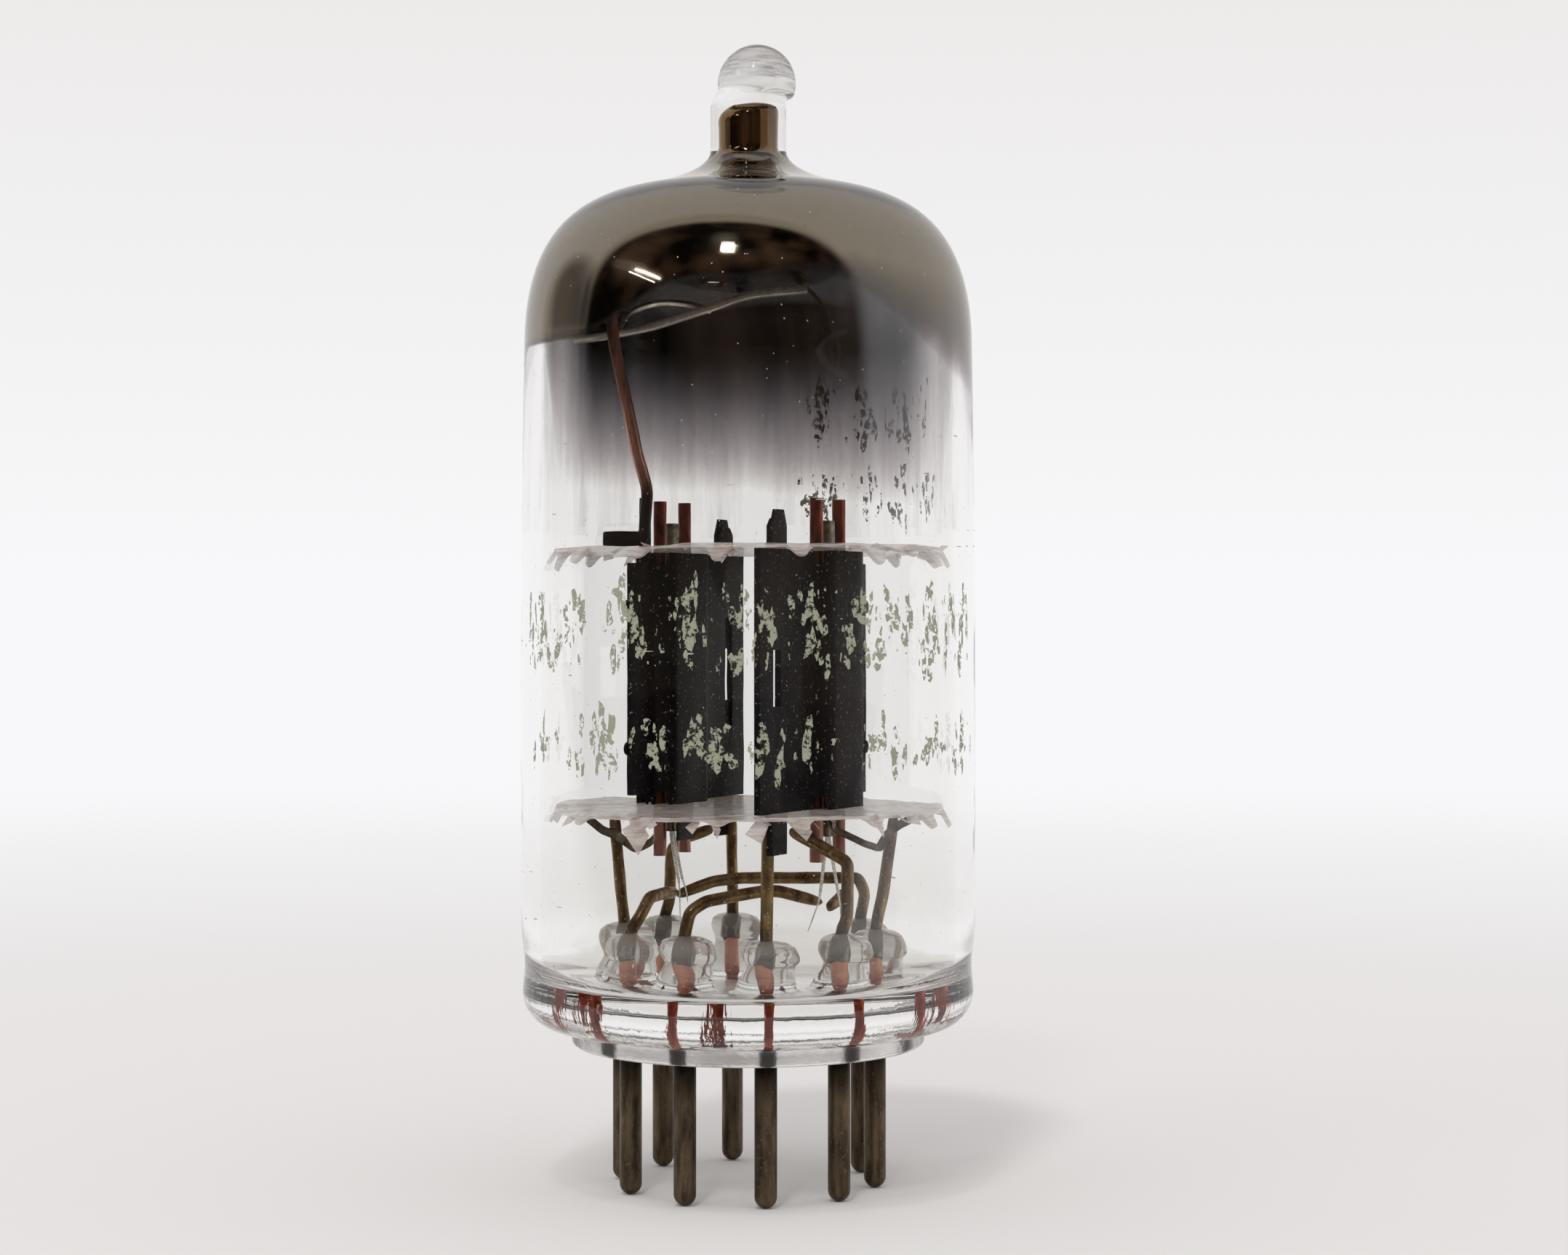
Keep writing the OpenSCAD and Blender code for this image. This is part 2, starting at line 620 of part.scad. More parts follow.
// Height of the getter's weld over the upper mica
getter_z = shoulder_z + getter_rise - deck_z;

// Direction in plan along the getter channel, and the direction behind it
getter_turn = 27.8;
along = [cos(getter_turn), sin(getter_turn), 0];
behind = [-sin(getter_turn), cos(getter_turn), 0];

// Rod that stands beside the tall tab, on a pressed foot that lies on the upper mica
module getter_rod() {
    r = holder_d / 2;
    foot_h = 0.35;
    beside = -unit_x + r + weld;
    corner = [beside, -2.98, deck_z + foot_h + fit];
    color([0.6, 0.36, 0.27]) {
        wire(bent([
            corner, [beside, -2.98, deck_z + 0.9], [beside, -2.72, deck_z + 0.265 * getter_z],
            [-unit_x - 0.08, -3, deck_z + 0.43 * getter_z],
            [-unit_x - 0.52, -3.12, deck_z + 0.65 * getter_z],
            [-unit_x - 0.9, -3.21, deck_z + 0.82 * getter_z],
            [-unit_x - 1.25, -3.28, deck_z + getter_z],
            [-unit_x - 1.38, -3.27, deck_z + getter_z + 2.05]
        ], 0.4, 4), r, 10);
        sweep(
            [[-unit_x - 1.28, -4.05, corner[2]], [-unit_x - 1.21, -4, corner[2]],
                corner + 0.1 * along],
            [for (k = [0:9]) [0.24 * cos(36 * k), foot_h * sin(36 * k)]],
            [0, 1, 0]
        );
    }
}

// The getter: a folded channel of sheet, bowed along its length, with a wire arch behind it
module getter_channel() {
    half = channel_l / 2;
    middle = [-unit_x + 1.525, -0.975, deck_z + getter_z + 0.9];
    reach = [-1, -0.73, -0.3, 0.15, 0.46, 0.7, 1];
    rise = [-1.05, -0.91, -0.43, 0.38, 1, 1.15, 1.28];
    line = [for (i = [0:len(reach) - 1]) middle + half * reach[i] * along + [0, 0, rise[i]]];
    w = channel_w / 2;
    h = channel_h / 2;
    lip = 0.08;
    color([0.42, 0.4, 0.38]) {
        sweep(
            bent(line, 0.5, 2),
            [[-w, -h], [w, -h], [w, h], [w - lip, h], [w - lip, lip - h],
                [lip - w, lip - h], [lip - w, h], [-w, h]],
            behind
        );
        wire(bent([
            middle - 3.4 * along + 0.3 * behind + [0, 0, -0.6],
            middle - 3.1 * along + 1.9 * behind + [0, 0, 0.45],
            middle - 1.6 * along + 2.9 * behind + [0, 0, 1.05],
            middle + 0.1 * along + 2.2 * behind + [0, 0, 0.85],
            middle + 0.9 * along + 0.3 * behind + [0, 0, 0.35]
        ], 0.9, 4), 0.16, 6);
    }
}

// Bright metal film on the inside of the dome
module getter_flash() {
    film_low = neck_z - film_h;
    foot_r = inside_r(film_low) - fit;
    points = len(dome_points(0));
    color([0.25, 0.22, 0.2])
    rotate_extrude() polygon(concat(
        [[foot_r, film_low], [inside_r(shoulder_z) - fit, shoulder_z]],
        [for (i = [0:points - 2]) dome_points(wall_t + fit)[i]],
        [for (i = [points - 2:-1:0]) dome_points(wall_t + fit + film_t)[i]],
        [[inside_r(shoulder_z) - fit - film_t, shoulder_z], [foot_r - film_t, film_low]]
    ));
}

glass_bulb();
button_stem();
getter_flash();
for (n = [1:9]) {
    pin(n);
    seal_wire(n);
    lead(n);
}
heater_stub();
cathode_ribbon_1();
cathode_ribbon_2();
anode_1_outer();
anode_1_inner();
anode_2_outer();
anode_2_inner();
grid_rod(unit_x, -rod_gap / 2);  // grid_1_front_rod
grid_rod(unit_x, rod_gap / 2);  // grid_1_rear_rod
grid_rod(-unit_x, -rod_gap / 2);  // grid_2_front_rod
grid_rod(-unit_x, rod_gap / 2);  // grid_2_rear_rod
grid_winding(unit_x);  // grid_1_winding
grid_winding(-unit_x);  // grid_2_winding
cathode(unit_x);  // cathode_1
cathode(-unit_x);  // cathode_2
heater_1();
heater_2();
mica_top();
mica_bottom();
getter_rod();
getter_channel();
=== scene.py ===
# %% [markdown]
# # A twin triode tube
# A small glass tube from a radio: a blown bulb, closed below by a pressed glass disc with nine pins.
# The metal and mica parts inside come from the construction model, at their real size. This lesson
# adds what a construction model leaves plain: the glass as one melted body, the dark mirror of
# evaporated metal in its dome, split mica, oxidised wire, and the light of a small photo table.

# %% Load the frame
import json
import math
import bmesh
import bpy
import numpy as np
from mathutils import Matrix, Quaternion, Vector

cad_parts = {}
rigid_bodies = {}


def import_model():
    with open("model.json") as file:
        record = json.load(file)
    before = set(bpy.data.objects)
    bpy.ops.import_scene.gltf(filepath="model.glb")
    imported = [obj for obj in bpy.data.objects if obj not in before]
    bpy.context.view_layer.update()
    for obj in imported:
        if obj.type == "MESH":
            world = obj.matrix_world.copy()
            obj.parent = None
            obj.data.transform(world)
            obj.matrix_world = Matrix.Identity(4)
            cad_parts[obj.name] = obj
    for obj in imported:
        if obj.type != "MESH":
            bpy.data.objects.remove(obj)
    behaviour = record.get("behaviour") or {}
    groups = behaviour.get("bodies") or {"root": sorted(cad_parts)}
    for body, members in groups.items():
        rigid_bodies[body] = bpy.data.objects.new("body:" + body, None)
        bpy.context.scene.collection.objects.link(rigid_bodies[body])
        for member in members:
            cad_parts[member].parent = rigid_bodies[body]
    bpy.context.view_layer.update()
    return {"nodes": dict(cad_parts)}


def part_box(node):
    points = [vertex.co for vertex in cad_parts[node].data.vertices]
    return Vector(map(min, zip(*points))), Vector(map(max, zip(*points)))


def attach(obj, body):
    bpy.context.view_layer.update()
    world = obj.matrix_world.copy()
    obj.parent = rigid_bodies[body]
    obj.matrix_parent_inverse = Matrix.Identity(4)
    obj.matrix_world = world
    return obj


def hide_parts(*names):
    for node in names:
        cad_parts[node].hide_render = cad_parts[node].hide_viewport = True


for thing in list(bpy.data.objects):
    bpy.data.objects.remove(thing)
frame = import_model()
nodes = frame["nodes"]
MM = 0.001
print("pieces in the frame:", len(nodes))

# %% [markdown]
# ## Sizes
# Heights and radii are read from the frame where it has them. Only what the frame can't say is typed:
# how thick the wall is, how far its waist and its taper draw it in, where the dome turns into its flare,
# and which way is right in the photo, where the tip leans to.


# %% Sizes from the frame, in millimetres
def box_mm(node):
    """Lowest and highest corner of a node, in millimetres."""
    low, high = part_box(node)
    return np.array(low) / MM, np.array(high) / MM


bulb_low, bulb_high = box_mm("glass_bulb")
stem_low, stem_high = box_mm("button_stem")
BULB_R = min(bulb_high[:2]) - 0.006
TOP_Z = bulb_high[2]
GLASS_Z = stem_low[2]
RIM_Z = bulb_low[2]
SEAM_R = stem_high[0] + 0.005
BOSS_R = SEAM_R - 0.7
FLOOR_Z = GLASS_Z + 3.0
WALL_T, WAIST_IN, TAPER_IN = 0.9, 0.17, 0.15
BORE_R = BULB_R - WALL_T
NECK_R = 1.76
NECK_Z = TOP_Z - 4.94
SHOULDER_Z = NECK_Z - 9.16
TAPER_Z = FLOOR_Z + 11.45
WAIST_Z = FLOOR_Z + 0.75
ROLL_Z = RIM_Z + 1.7
PIN_SPOTS = {n: sum(box_mm(f"pin_{n}"))[:2] / 2 for n in range(1, 10)}
RIGHT = math.radians(27.8)
FRONT = RIGHT - math.pi / 2
rng = np.random.default_rng(7)
print(f"bulb {2 * BULB_R:.2f} mm wide, seam at {SEAM_R:.2f}, shoulder at {SHOULDER_Z:.2f}")

# %% [markdown]
# ## From arrays to a mesh
# Each new shape here is a grid of points: rows along a profile, columns around it. Two helpers turn
# such grids into Blender meshes. The faces of a grid that closes on itself need no loop, because each
# face's four corner numbers are sums of row and column numbers.


# %% Mesh helpers
def new_object(name, data):
    """An object at the origin that shows a mesh, a lamp's or a camera's data."""
    thing = bpy.data.objects.new(name, data)
    bpy.context.scene.collection.objects.link(thing)
    return thing


def add_piece(name, points, faces, smooth=True):
    """A mesh object from points in millimetres and a list of faces, with its place in its mesh."""
    mesh = bpy.data.meshes.new(name)
    mesh.from_pydata((np.asarray(points) * MM).tolist(), [], faces)
    mesh.validate()
    mesh.polygons.foreach_set("use_smooth", np.full(len(mesh.polygons), smooth))
    mesh.update()
    piece = new_object(name, mesh)
    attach(piece, "root")
    return piece


def ring_faces(rows, columns, first=0, flip=False):
    """Faces between closed rings: face (i, j) joins points j and j + 1 of ring i with those of ring i + 1."""
    i, j = np.meshgrid(np.arange(rows - 1), np.arange(columns), indexing="ij")
    k = (j + 1) % columns
    quads = np.stack([i * columns + j, i * columns + k, (i + 1) * columns + k, (i + 1) * columns + j], -1)
    quads = quads.reshape(-1, 4) + first
    return (quads[:, ::-1] if flip else quads).tolist()


def polar(r, a, z):
    """Points at radius r, angle a and height z: (r cos a, r sin a, z)."""
    return np.stack(np.broadcast_arrays(r * np.cos(a), r * np.sin(a), z), -1)


def spun(profile, columns):
    """Rings round the Z axis: each profile point (r, z) goes round at every angle."""
    return polar(profile[:, 0:1], np.linspace(0, 2 * math.pi, columns, endpoint=False), profile[:, 1:2])


def cubic(a, b, c, d, steps):
    """Points of a cubic curve, without its first: a to d weighted by the terms of ((1 - t) + t) cubed."""
    t = np.linspace(0, 1, steps + 1)[1:, None]
    s = 1 - t
    return s**3 * a + 3 * s * s * t * b + 3 * s * t * t * c + t**3 * d


def through(points, steps):
    """A smooth curve through all points: between two of them, the Catmull-Rom cubic of the four nearest."""
    p = np.asarray(points, float)
    ends = np.vstack([2 * p[0] - p[1], p, 2 * p[-1] - p[-2]])
    t = np.linspace(0, 1, steps, endpoint=False)[None, :, None]
    p0, p1, p2, p3 = (ends[i:len(p) - 1 + i, None, :] for i in range(4))
    curve = 0.5 * (2 * p1 + (p2 - p0) * t + (2 * p0 - 5 * p1 + 4 * p2 - p3) * t**2
                   + (3 * p1 - p0 - 3 * p2 + p3) * t**3)
    return np.vstack([curve.reshape(-1, p.shape[1]), p[-1:]])


print("two rings of 8 points make", len(ring_faces(2, 8)), "faces")

# %% [markdown]
# ## The glass
# On the real tube the blown bulb and the pressed disc are melted together into one piece of glass, so
# it is one closed mesh here: light has to meet glass and air in turn, with no second skin at the seam.
# The outside runs from the recess under the disc, over the boss, the groove, the rolled edge and the
# wall to the dome, the neck and the drop. The inside runs back down the bore, the dome and the wall to
# the floor with its nine beads. Where the drop leans over the neck, rows of points are raised or
# lowered by the angle, as the melted glass was.

# %% Profile of the outside
def wall_r(z):
    """Radius of the wall: the bulb's radius less a bell-shaped waist over the seam and a slow taper."""
    rise = np.maximum(0, (z - TAPER_Z) / (SHOULDER_Z - TAPER_Z))
    return BULB_R - WAIST_IN * np.exp(-(((z - WAIST_Z) / 1.3) ** 2)) - TAPER_IN * rise**2


def dome_profile(t, steps=(18, 12)):
    """Two cubics from the wall to the neck, which meet on the flat of the dome, all set back by t."""
    back = t * np.array([-0.224, -0.975])
    foot, meet = np.array([BULB_R - TAPER_IN - t, SHOULDER_Z]), np.array([5.75, NECK_Z - 1.99]) + back
    end, along = np.array([NECK_R - t, NECK_Z]), np.array([1, -0.23])
    lower = cubic(foot, foot + [0, 4.06 - t / 3], meet + (3.17 - t / 3) * along, meet, steps[0])
    upper = cubic(meet, meet - (1.4 + t / 3) * along, end - [0, 1.02 + t / 3], end, steps[1])
    return np.vstack([foot, lower, upper])


COLUMNS = 384
recess_r = np.hypot(*PIN_SPOTS[5]) - 1.6
under = through([
    [0.02, GLASS_Z + 0.3], [recess_r * 0.6, GLASS_Z + 0.3], [recess_r - 0.1, GLASS_Z + 0.29],
    [recess_r + 0.3, GLASS_Z + 0.12], [recess_r + 0.6, GLASS_Z + 0.01], [recess_r + 1.4, GLASS_Z + 0.01],
    [BOSS_R - 0.5, GLASS_Z + 0.01], [BOSS_R - 0.16, GLASS_Z + 0.04], [BOSS_R - 0.02, GLASS_Z + 0.2],
    [BOSS_R, GLASS_Z + 0.5], [BOSS_R + 0.02, RIM_Z - 0.06], [BOSS_R + 0.08, RIM_Z + 0.08],
    [BOSS_R + 0.22, RIM_Z + 0.13], [BOSS_R + 0.36, RIM_Z + 0.11], [SEAM_R - 0.2, RIM_Z + 0.04],
    [SEAM_R - 0.08, RIM_Z + 0.01]], 2)
turn = np.radians(np.linspace(0, 90, 15))
rolled = np.stack([SEAM_R + (wall_r(ROLL_Z) - SEAM_R) * np.sin(turn),
                   ROLL_Z - (ROLL_Z - RIM_Z) * np.cos(turn)], -1)
wall_z = np.concatenate([np.arange(ROLL_Z + 0.3, WAIST_Z + 3, 0.42),
                         np.linspace(WAIST_Z + 3.2, SHOULDER_Z - 1.5, 9)])
wall = np.stack([wall_r(wall_z), wall_z], -1)
outside = np.vstack([under, rolled, wall, dome_profile(0)])
print("outside profile:", len(outside), "rows")

# %% The drop at the top, and the bore under it
# Each row: how far its centre lies to the right, its radius, its height on the right and on the left.
DROP_Z, DROP_R, DROP_LEAN = 51.17, 1.82, 0.385
DROP = through([
    [0, 1.76, NECK_Z + 0.15, NECK_Z + 0.15], [0, 1.758, 48.9, 48.9], [0, 1.758, 49.7, 49.5],
    [0, 1.758, 50.3, 49.9], [0, 1.758, 50.46, 50.15], [0.07, 1.73, 50.53, 50.4], [0.21, 1.74, 50.55, 50.65],
    [0.33, 1.75, 50.6, 50.85], [0.375, 1.785, 50.75, 51.0], [DROP_LEAN, DROP_R, 51.0, 51.15]], 2)
up = np.radians(np.linspace(6, 89.5, 15))
cap = np.stack([DROP_LEAN + 0.035 * np.sin(up), DROP_R * np.cos(up),
                DROP_Z + (TOP_Z - DROP_Z - 0.005) * np.sin(up)], -1)
DROP = np.vstack([DROP, np.column_stack([cap, cap[:, 2]])])
BORE = through([
    [0, 0.862, NECK_Z + 0.2, NECK_Z + 0.2], [0, 0.87, 49.2, 49.0], [0, 0.88, 49.75, 49.3],
    [0, 0.86, 49.95, 49.5], [0, 0.78, 50.07, 49.72], [0, 0.62, 50.13, 49.92], [0, 0.4, 50.17, 50.1],
    [0, 0.01, 50.18, 50.18]], 2)


def leaning(rows, columns):
    """Rings whose centre is moved to the right and whose height runs from the right's to the left's.
    The share of the right side at angle a is (1 + cos(a - right)) / 2."""
    a = np.linspace(0, 2 * math.pi, columns, endpoint=False)
    share = (1 + np.cos(a - RIGHT)) / 2
    c, r, high, low = (rows[:, i:i + 1] for i in range(4))
    x = c * math.cos(RIGHT) + r * np.cos(a)
    y = c * math.sin(RIGHT) + r * np.sin(a)
    return np.stack([x, y, high * share + low * (1 - share)], -1)


print("drop:", len(DROP), "rows, bore:", len(BORE), "rows")

# %% [markdown]
# ## The floor with its beads
# Glass was run up round each wire to keep it from cracking where it leaves the disc. Each bead is a
# small mushroom: narrow at its waist, wider above, and never quite like the next. To keep the floor one
# surface, each flat patch round a wire is stretched over the bead: a point's distance from the wire
# says how far along the bead's profile it goes. The waist gets more of the points, as it bends most.


# %% Stretch the floor over the beads
BEAD_REACH = 1.55
BEAD = through([
    [BEAD_REACH, 0.0], [1.44, 0.05], [1.34, 0.25], [1.26, 0.6], [1.18, 1.0], [1.09, 1.32], [1.04, 1.5],
    [1.11, 1.6], [1.2, 1.74], [1.24, 1.93], [1.2, 2.14], [1.08, 2.31], [0.86, 2.43], [0.56, 2.5],
    [0.28, 2.52], [0.0, 2.53]], 8)
crowding = np.interp(BEAD[1:, 1], [1.1, 1.3, 1.9, 2.05, 2.35, 2.42], [1, 2.5, 2.5, 1, 1, 0.6])
bead_length = np.concatenate([[0], np.cumsum(np.hypot(*np.diff(BEAD, axis=0).T) * crowding)])
bead_length /= bead_length[-1]
print("bead profile:", len(BEAD), "points,", BEAD[-1, 1], "mm high")


def raise_beads(points):
    """Points of the floor within BEAD_REACH of a wire move onto that bead's profile, the nearer the higher.
    Two waves of the angle give each bead its own shape, and its upper half leans a little to the right."""
    out = points.copy()
    for n, spot in PIN_SPOTS.items():
        away = points[..., :2] - spot
        distance = np.hypot(away[..., 0], away[..., 1])
        near = distance < BEAD_REACH
        angle = np.arctan2(away[..., 1], away[..., 0])[near]
        along = 1 - distance[near] / BEAD_REACH
        r = np.interp(along, bead_length, BEAD[:, 0])
        h = np.interp(along, bead_length, BEAD[:, 1])
        waves = 0.05 * np.sin(2 * angle + 2.3 * n) + 0.035 * np.sin(3 * angle + n)
        r = r * (1 + (0.05 * math.sin(3.1 * n) + waves) * np.clip(along * 4, 0, 1))
        h = h * (1.01 + 0.03 * math.sin(2.7 * n + 1) + 0.05 * np.sin(angle + 1.9 * n) * (1 - along))
        lean = 0.26 * np.clip(h - 0.7, 0, 1) * np.clip(2.5 * (1 - along), 0, 1)
        leant = RIGHT + 0.5 * math.sin(5 * n)
        x = spot[0] + r * np.cos(angle) + lean * math.cos(leant)
        y = spot[1] + r * np.sin(angle) + lean * math.sin(leant)
        out[near] = np.stack([x, y, FLOOR_Z + h], -1)
    return out


# %% The inside: wall, fillet, apron and floor
FLAT_R = 7.6
a = np.linspace(0, 2 * math.pi, COLUMNS, endpoint=False)
inner_z = np.concatenate([np.linspace(SHOULDER_Z - 1.5, TAPER_Z, 6),
                          np.linspace(TAPER_Z - 1.5, FLOOR_Z + 1.8, 6)])
inner_r = BORE_R - TAPER_IN * np.maximum(0, (inner_z - TAPER_Z) / (SHOULDER_Z - TAPER_Z))
inner_wall = np.stack([inner_r, inner_z], -1)
fillet_r = 1.5 - 1.0 * np.maximum(0, np.cos(a - FRONT)) ** 1.5
turn = np.radians(np.linspace(90, 0, 9))[:, None]
fillet_across = BORE_R - fillet_r * (1 - np.sin(turn))
fillet = polar(fillet_across, a, FLOOR_Z + fillet_r * (1 - np.cos(turn)))
share = np.linspace(0.2, 0.8, 4)[:, None]
apron_across = (BORE_R - fillet_r) * (1 - share) + FLAT_R * share
apron = polar(apron_across, a, FLOOR_Z)
flat_r = np.concatenate([np.linspace(FLAT_R, 4.3, 46), np.linspace(4.1, 0.5, 6), [0.02]])
flat = np.stack([flat_r, np.full(len(flat_r), FLOOR_Z)], -1)
inside_top = dome_profile(WALL_T)[::-1]
print("floor rows:", len(flat), "inner rows:", len(inside_top) + len(inner_wall) + len(fillet) + len(apron))

# %% Join the rings into one closed body
# Pressing left fine upright wrinkles round the rolled edge: the sum of six waves of the angle draws it in.
# The body has an outer and an inner skin, each closed at both its poles by a fan of triangles.
rings = np.concatenate([
    spun(outside, COLUMNS), leaning(DROP, COLUMNS), leaning(BORE[::-1], COLUMNS), spun(inside_top, COLUMNS),
    spun(inner_wall, COLUMNS), fillet, apron, raise_beads(spun(flat, COLUMNS))])
low_edge = np.exp(-(((rings[..., 2] - RIM_Z - 0.7) / 0.75) ** 2))
low_edge *= np.hypot(rings[..., 0], rings[..., 1]) > SEAM_R + 0.15
wrinkle = sum(np.sin(k * a + p) / 6 for k, p in zip((31, 47, 59, 73, 88, 97), rng.uniform(0, 6, 6)))
rings[..., :2] *= (1 - 0.004 * low_edge * np.abs(wrinkle))[..., None]
turned = len(outside) + len(DROP)
faces = ring_faces(turned, COLUMNS)
faces += ring_faces(len(rings) - turned, COLUMNS, turned * COLUMNS)
points = rings.reshape(-1, 3)
centres = [[0, 0, rings[0, 0, 2]], rings[turned - 1].mean(0), rings[turned].mean(0),
           [0, 0, rings[-1, 0, 2]]]
for centre, row in enumerate((0, turned - 1, turned, len(rings) - 1)):
    ring = row * COLUMNS + np.arange(COLUMNS)
    fan = np.stack([np.full(COLUMNS, len(points) + centre), np.roll(ring, -1), ring], -1)
    faces += (fan if row in (0, turned) else fan[:, ::-1]).tolist()
glass = add_piece("tube_glass", np.vstack([points, centres]), faces)
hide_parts("glass_bulb", "button_stem")
print("glass:", len(faces), "faces")

# %% [markdown]
# ## The getter's mirror
# A strip of getter metal was flashed off inside the dome. Its vapour settled as a dark mirror that thins
# out towards the cage. On the real tube it lies on the inside of the glass, with no air between. Here it
# is a closed skin that lies just inside the glass, so that a ray meets the metal before the inner
# surface, as it does in life. Where the film ends is a matter of side and height, so it is worked out
# with numpy for each point and kept as an attribute that the material reads: 0 where the film is whole,
# -1 where it has faded out.

# %% Film on the inside of the dome
FILM_LOW, FILM_COLUMNS = 30.3, 180


def film_rows(depth):
    """Rows of the dome's inside from the cage up to the bore, set out into the glass by depth."""
    low_z = np.linspace(FILM_LOW, SHOULDER_Z, 36)[:-1]
    low = np.stack([BORE_R - TAPER_IN * (low_z - TAPER_Z) / (SHOULDER_Z - TAPER_Z) + depth, low_z], -1)
    return np.vstack([low, dome_profile(WALL_T - depth, (44, 14))])


def film_reach(points):
    """Height over the film's edge, divided by the width of its fade, from -1 to 0. The fade is long behind
    (a smooth step of the depth) and sharp in front on the left, and the edge rises to the right. Below the
    dome the film thins out towards both sides, and it is thin in one bell-shaped patch on the right."""
    side = points[:, 0] * math.cos(RIGHT) + points[:, 1] * math.sin(RIGHT)
    depth = points[:, 1] * math.cos(RIGHT) - points[:, 0] * math.sin(RIGHT)
    side, behind = side / 10, np.clip((depth / 10 + 0.2) / 0.5, 0, 1)
    behind = behind * behind * (3 - 2 * behind)
    to_right, far_right = np.maximum(0, side), np.maximum(0, side - 0.45)
    left_step = np.clip((side + 0.8) / 0.6, 0, 1)
    left_step = left_step * left_step * (3 - 2 * left_step)
    edge_in_front = 39 + 2.3 * left_step + 2.2 * to_right - 4 * far_right
    edge = (1 - behind) * edge_in_front + behind * (39.6 + 1.2 * to_right)
    width = (1 - behind) * (0.35 + 5 * to_right**2) + behind * (7 + 2.4 * to_right)
    at_sides = np.clip((np.abs(side + 0.01) - 0.78) / 0.17, 0, 1)
    at_sides = at_sides * np.clip((41.5 - points[:, 2]) / 2, 0, 1)
    patch = behind * 0.36 * np.exp(-(((side - 0.72) / 0.26) ** 2) - ((points[:, 2] - 42) / 2.6) ** 2)
    whole = np.maximum(0, 1 + np.minimum((points[:, 2] - edge) / width, -patch))
    return whole * (1 - 0.85 * behind * at_sides) - 1


layers = [np.concatenate([spun(film_rows(depth), FILM_COLUMNS),
                          leaning(BORE[:-3] + [0, depth, 0.8 * depth, 0.8 * depth], FILM_COLUMNS)])
          for depth in (0.05, 0.025)]
rings = np.concatenate([layers[0], layers[1][::-1]])
faces = ring_faces(len(rings), FILM_COLUMNS)
first, last = np.arange(FILM_COLUMNS), (len(rings) - 1) * FILM_COLUMNS + np.arange(FILM_COLUMNS)
faces += np.stack([last, np.roll(last, -1), np.roll(first, -1), first], -1).tolist()
film = add_piece("getter_mirror", rings.reshape(-1, 3), faces)
reach = film.data.attributes.new("reach", "FLOAT", "POINT")
reach.data.foreach_set("value", film_reach(rings.reshape(-1, 3)))
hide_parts("getter_flash")
print("mirror:", len(faces), "faces")

# %% [markdown]
# ## Copies of the model's pieces
# The model's own pieces stay as they are, and a finer copy of one takes its place. A node is loose
# triangles, so each copy is merged into one skin first.


# %% Copies
def merged_copy(node, name, join, grow=0.0, smooth=True):
    """A copy of a node whose corners are merged. join(skin) then makes whole faces of its triangles, and
    each corner moves along its normal by grow millimetres."""
    piece = nodes[node].copy()
    piece.name = name
    bpy.context.scene.collection.objects.link(piece)
    skin = bmesh.new()
    skin.from_mesh(nodes[node].data)
    bmesh.ops.remove_doubles(skin, verts=skin.verts, dist=2e-6)
    join(skin)
    piece.data = bpy.data.meshes.new(name)
    skin.to_mesh(piece.data)
    skin.free()
    write_corners(piece, read_corners(piece) + read_corners(piece, "normal") * grow * MM)
    piece.data.polygons.foreach_set("use_smooth", np.full(len(piece.data.polygons), smooth))
    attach(piece, "root")
    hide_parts(node)
    return piece


def read_corners(piece, what="co"):
    """The corners of a piece in metres, or their normals, one row for each."""
    rows = np.empty(len(piece.data.vertices) * 3)
    piece.data.vertices.foreach_get(what, rows)
    return rows.reshape(-1, 3)


def write_corners(piece, rows):
    """Gives a piece's corners new places, in metres."""
    piece.data.vertices.foreach_set("co", rows.ravel())
    piece.data.update()


# %% [markdown]
# ## Wires
# The model's bent wires have eight flat sides. A round wire comes from a copy of each: its triangles are
# joined to quads, its sides pushed out by a tenth, and Blender's subdivision then rounds it back to the
# true thickness. Two leads and the heaters' short stub end further along in the photo than in the model,
# so their ends are drawn out.


# %% Round wires
def round_copy(node, name, grow, levels=2):
    """A copy of a node whose corners move out along their normals by grow millimetres, then subdivision."""
    def quads(skin):
        bmesh.ops.join_triangles(skin, faces=skin.faces, angle_face_threshold=math.radians(60),
                                 angle_shape_threshold=math.radians(60))
        skin.normal_update()

    piece = merged_copy(node, name, quads, grow)
    rounder = piece.modifiers.new("round", "SUBSURF")
    rounder.levels = rounder.render_levels = levels
    return piece


def reach_on(piece, end, tail):
    """Draws a wire out: the corners round its end, all in millimetres, move by the tail."""
    corners = read_corners(piece)
    near = np.hypot(corners[:, 0] / MM - end[0], corners[:, 1] / MM - end[1]) < 0.4
    corners[near] += np.array(tail) * MM
    write_corners(piece, corners)
    print(piece.name, "drawn out at", near.sum(), "corners")


wires = {f"lead_{n}": round_copy(f"lead_{n}", f"lead_wire_{n}", 0.028) for n in range(1, 10)}
wires["heater_stub"] = round_copy("heater_stub", "heater_stub_wire", 0.028)
reach_on(wires["lead_4"], (-3.68, -0.72), (-0.15, 0.39, 0.0))
reach_on(wires["lead_9"], (-3.62, 0.34), (-0.36, -0.26, -0.17))
reach_on(wires["heater_stub"], (3.98, 0.86), (-0.27, 0.05, 0.0))
for n in (1, 2):
    wires[f"heater_{n}"] = round_copy(f"heater_{n}", f"heater_legs_{n}", 0.008)
wires["getter_rod"] = round_copy("getter_rod", "getter_post", 0.02)
print("round wires:", len(wires), "the first with", len(wires["lead_1"].data.polygons), "faces to round")

# %% [markdown]
# The copper-clad wires in the glass are straight, but pressing the glass round them left them uneven, and
# they are thinner in the disc than in the beads. Each is a stack of rings whose radius follows the height
# and whose centre wanders a little.


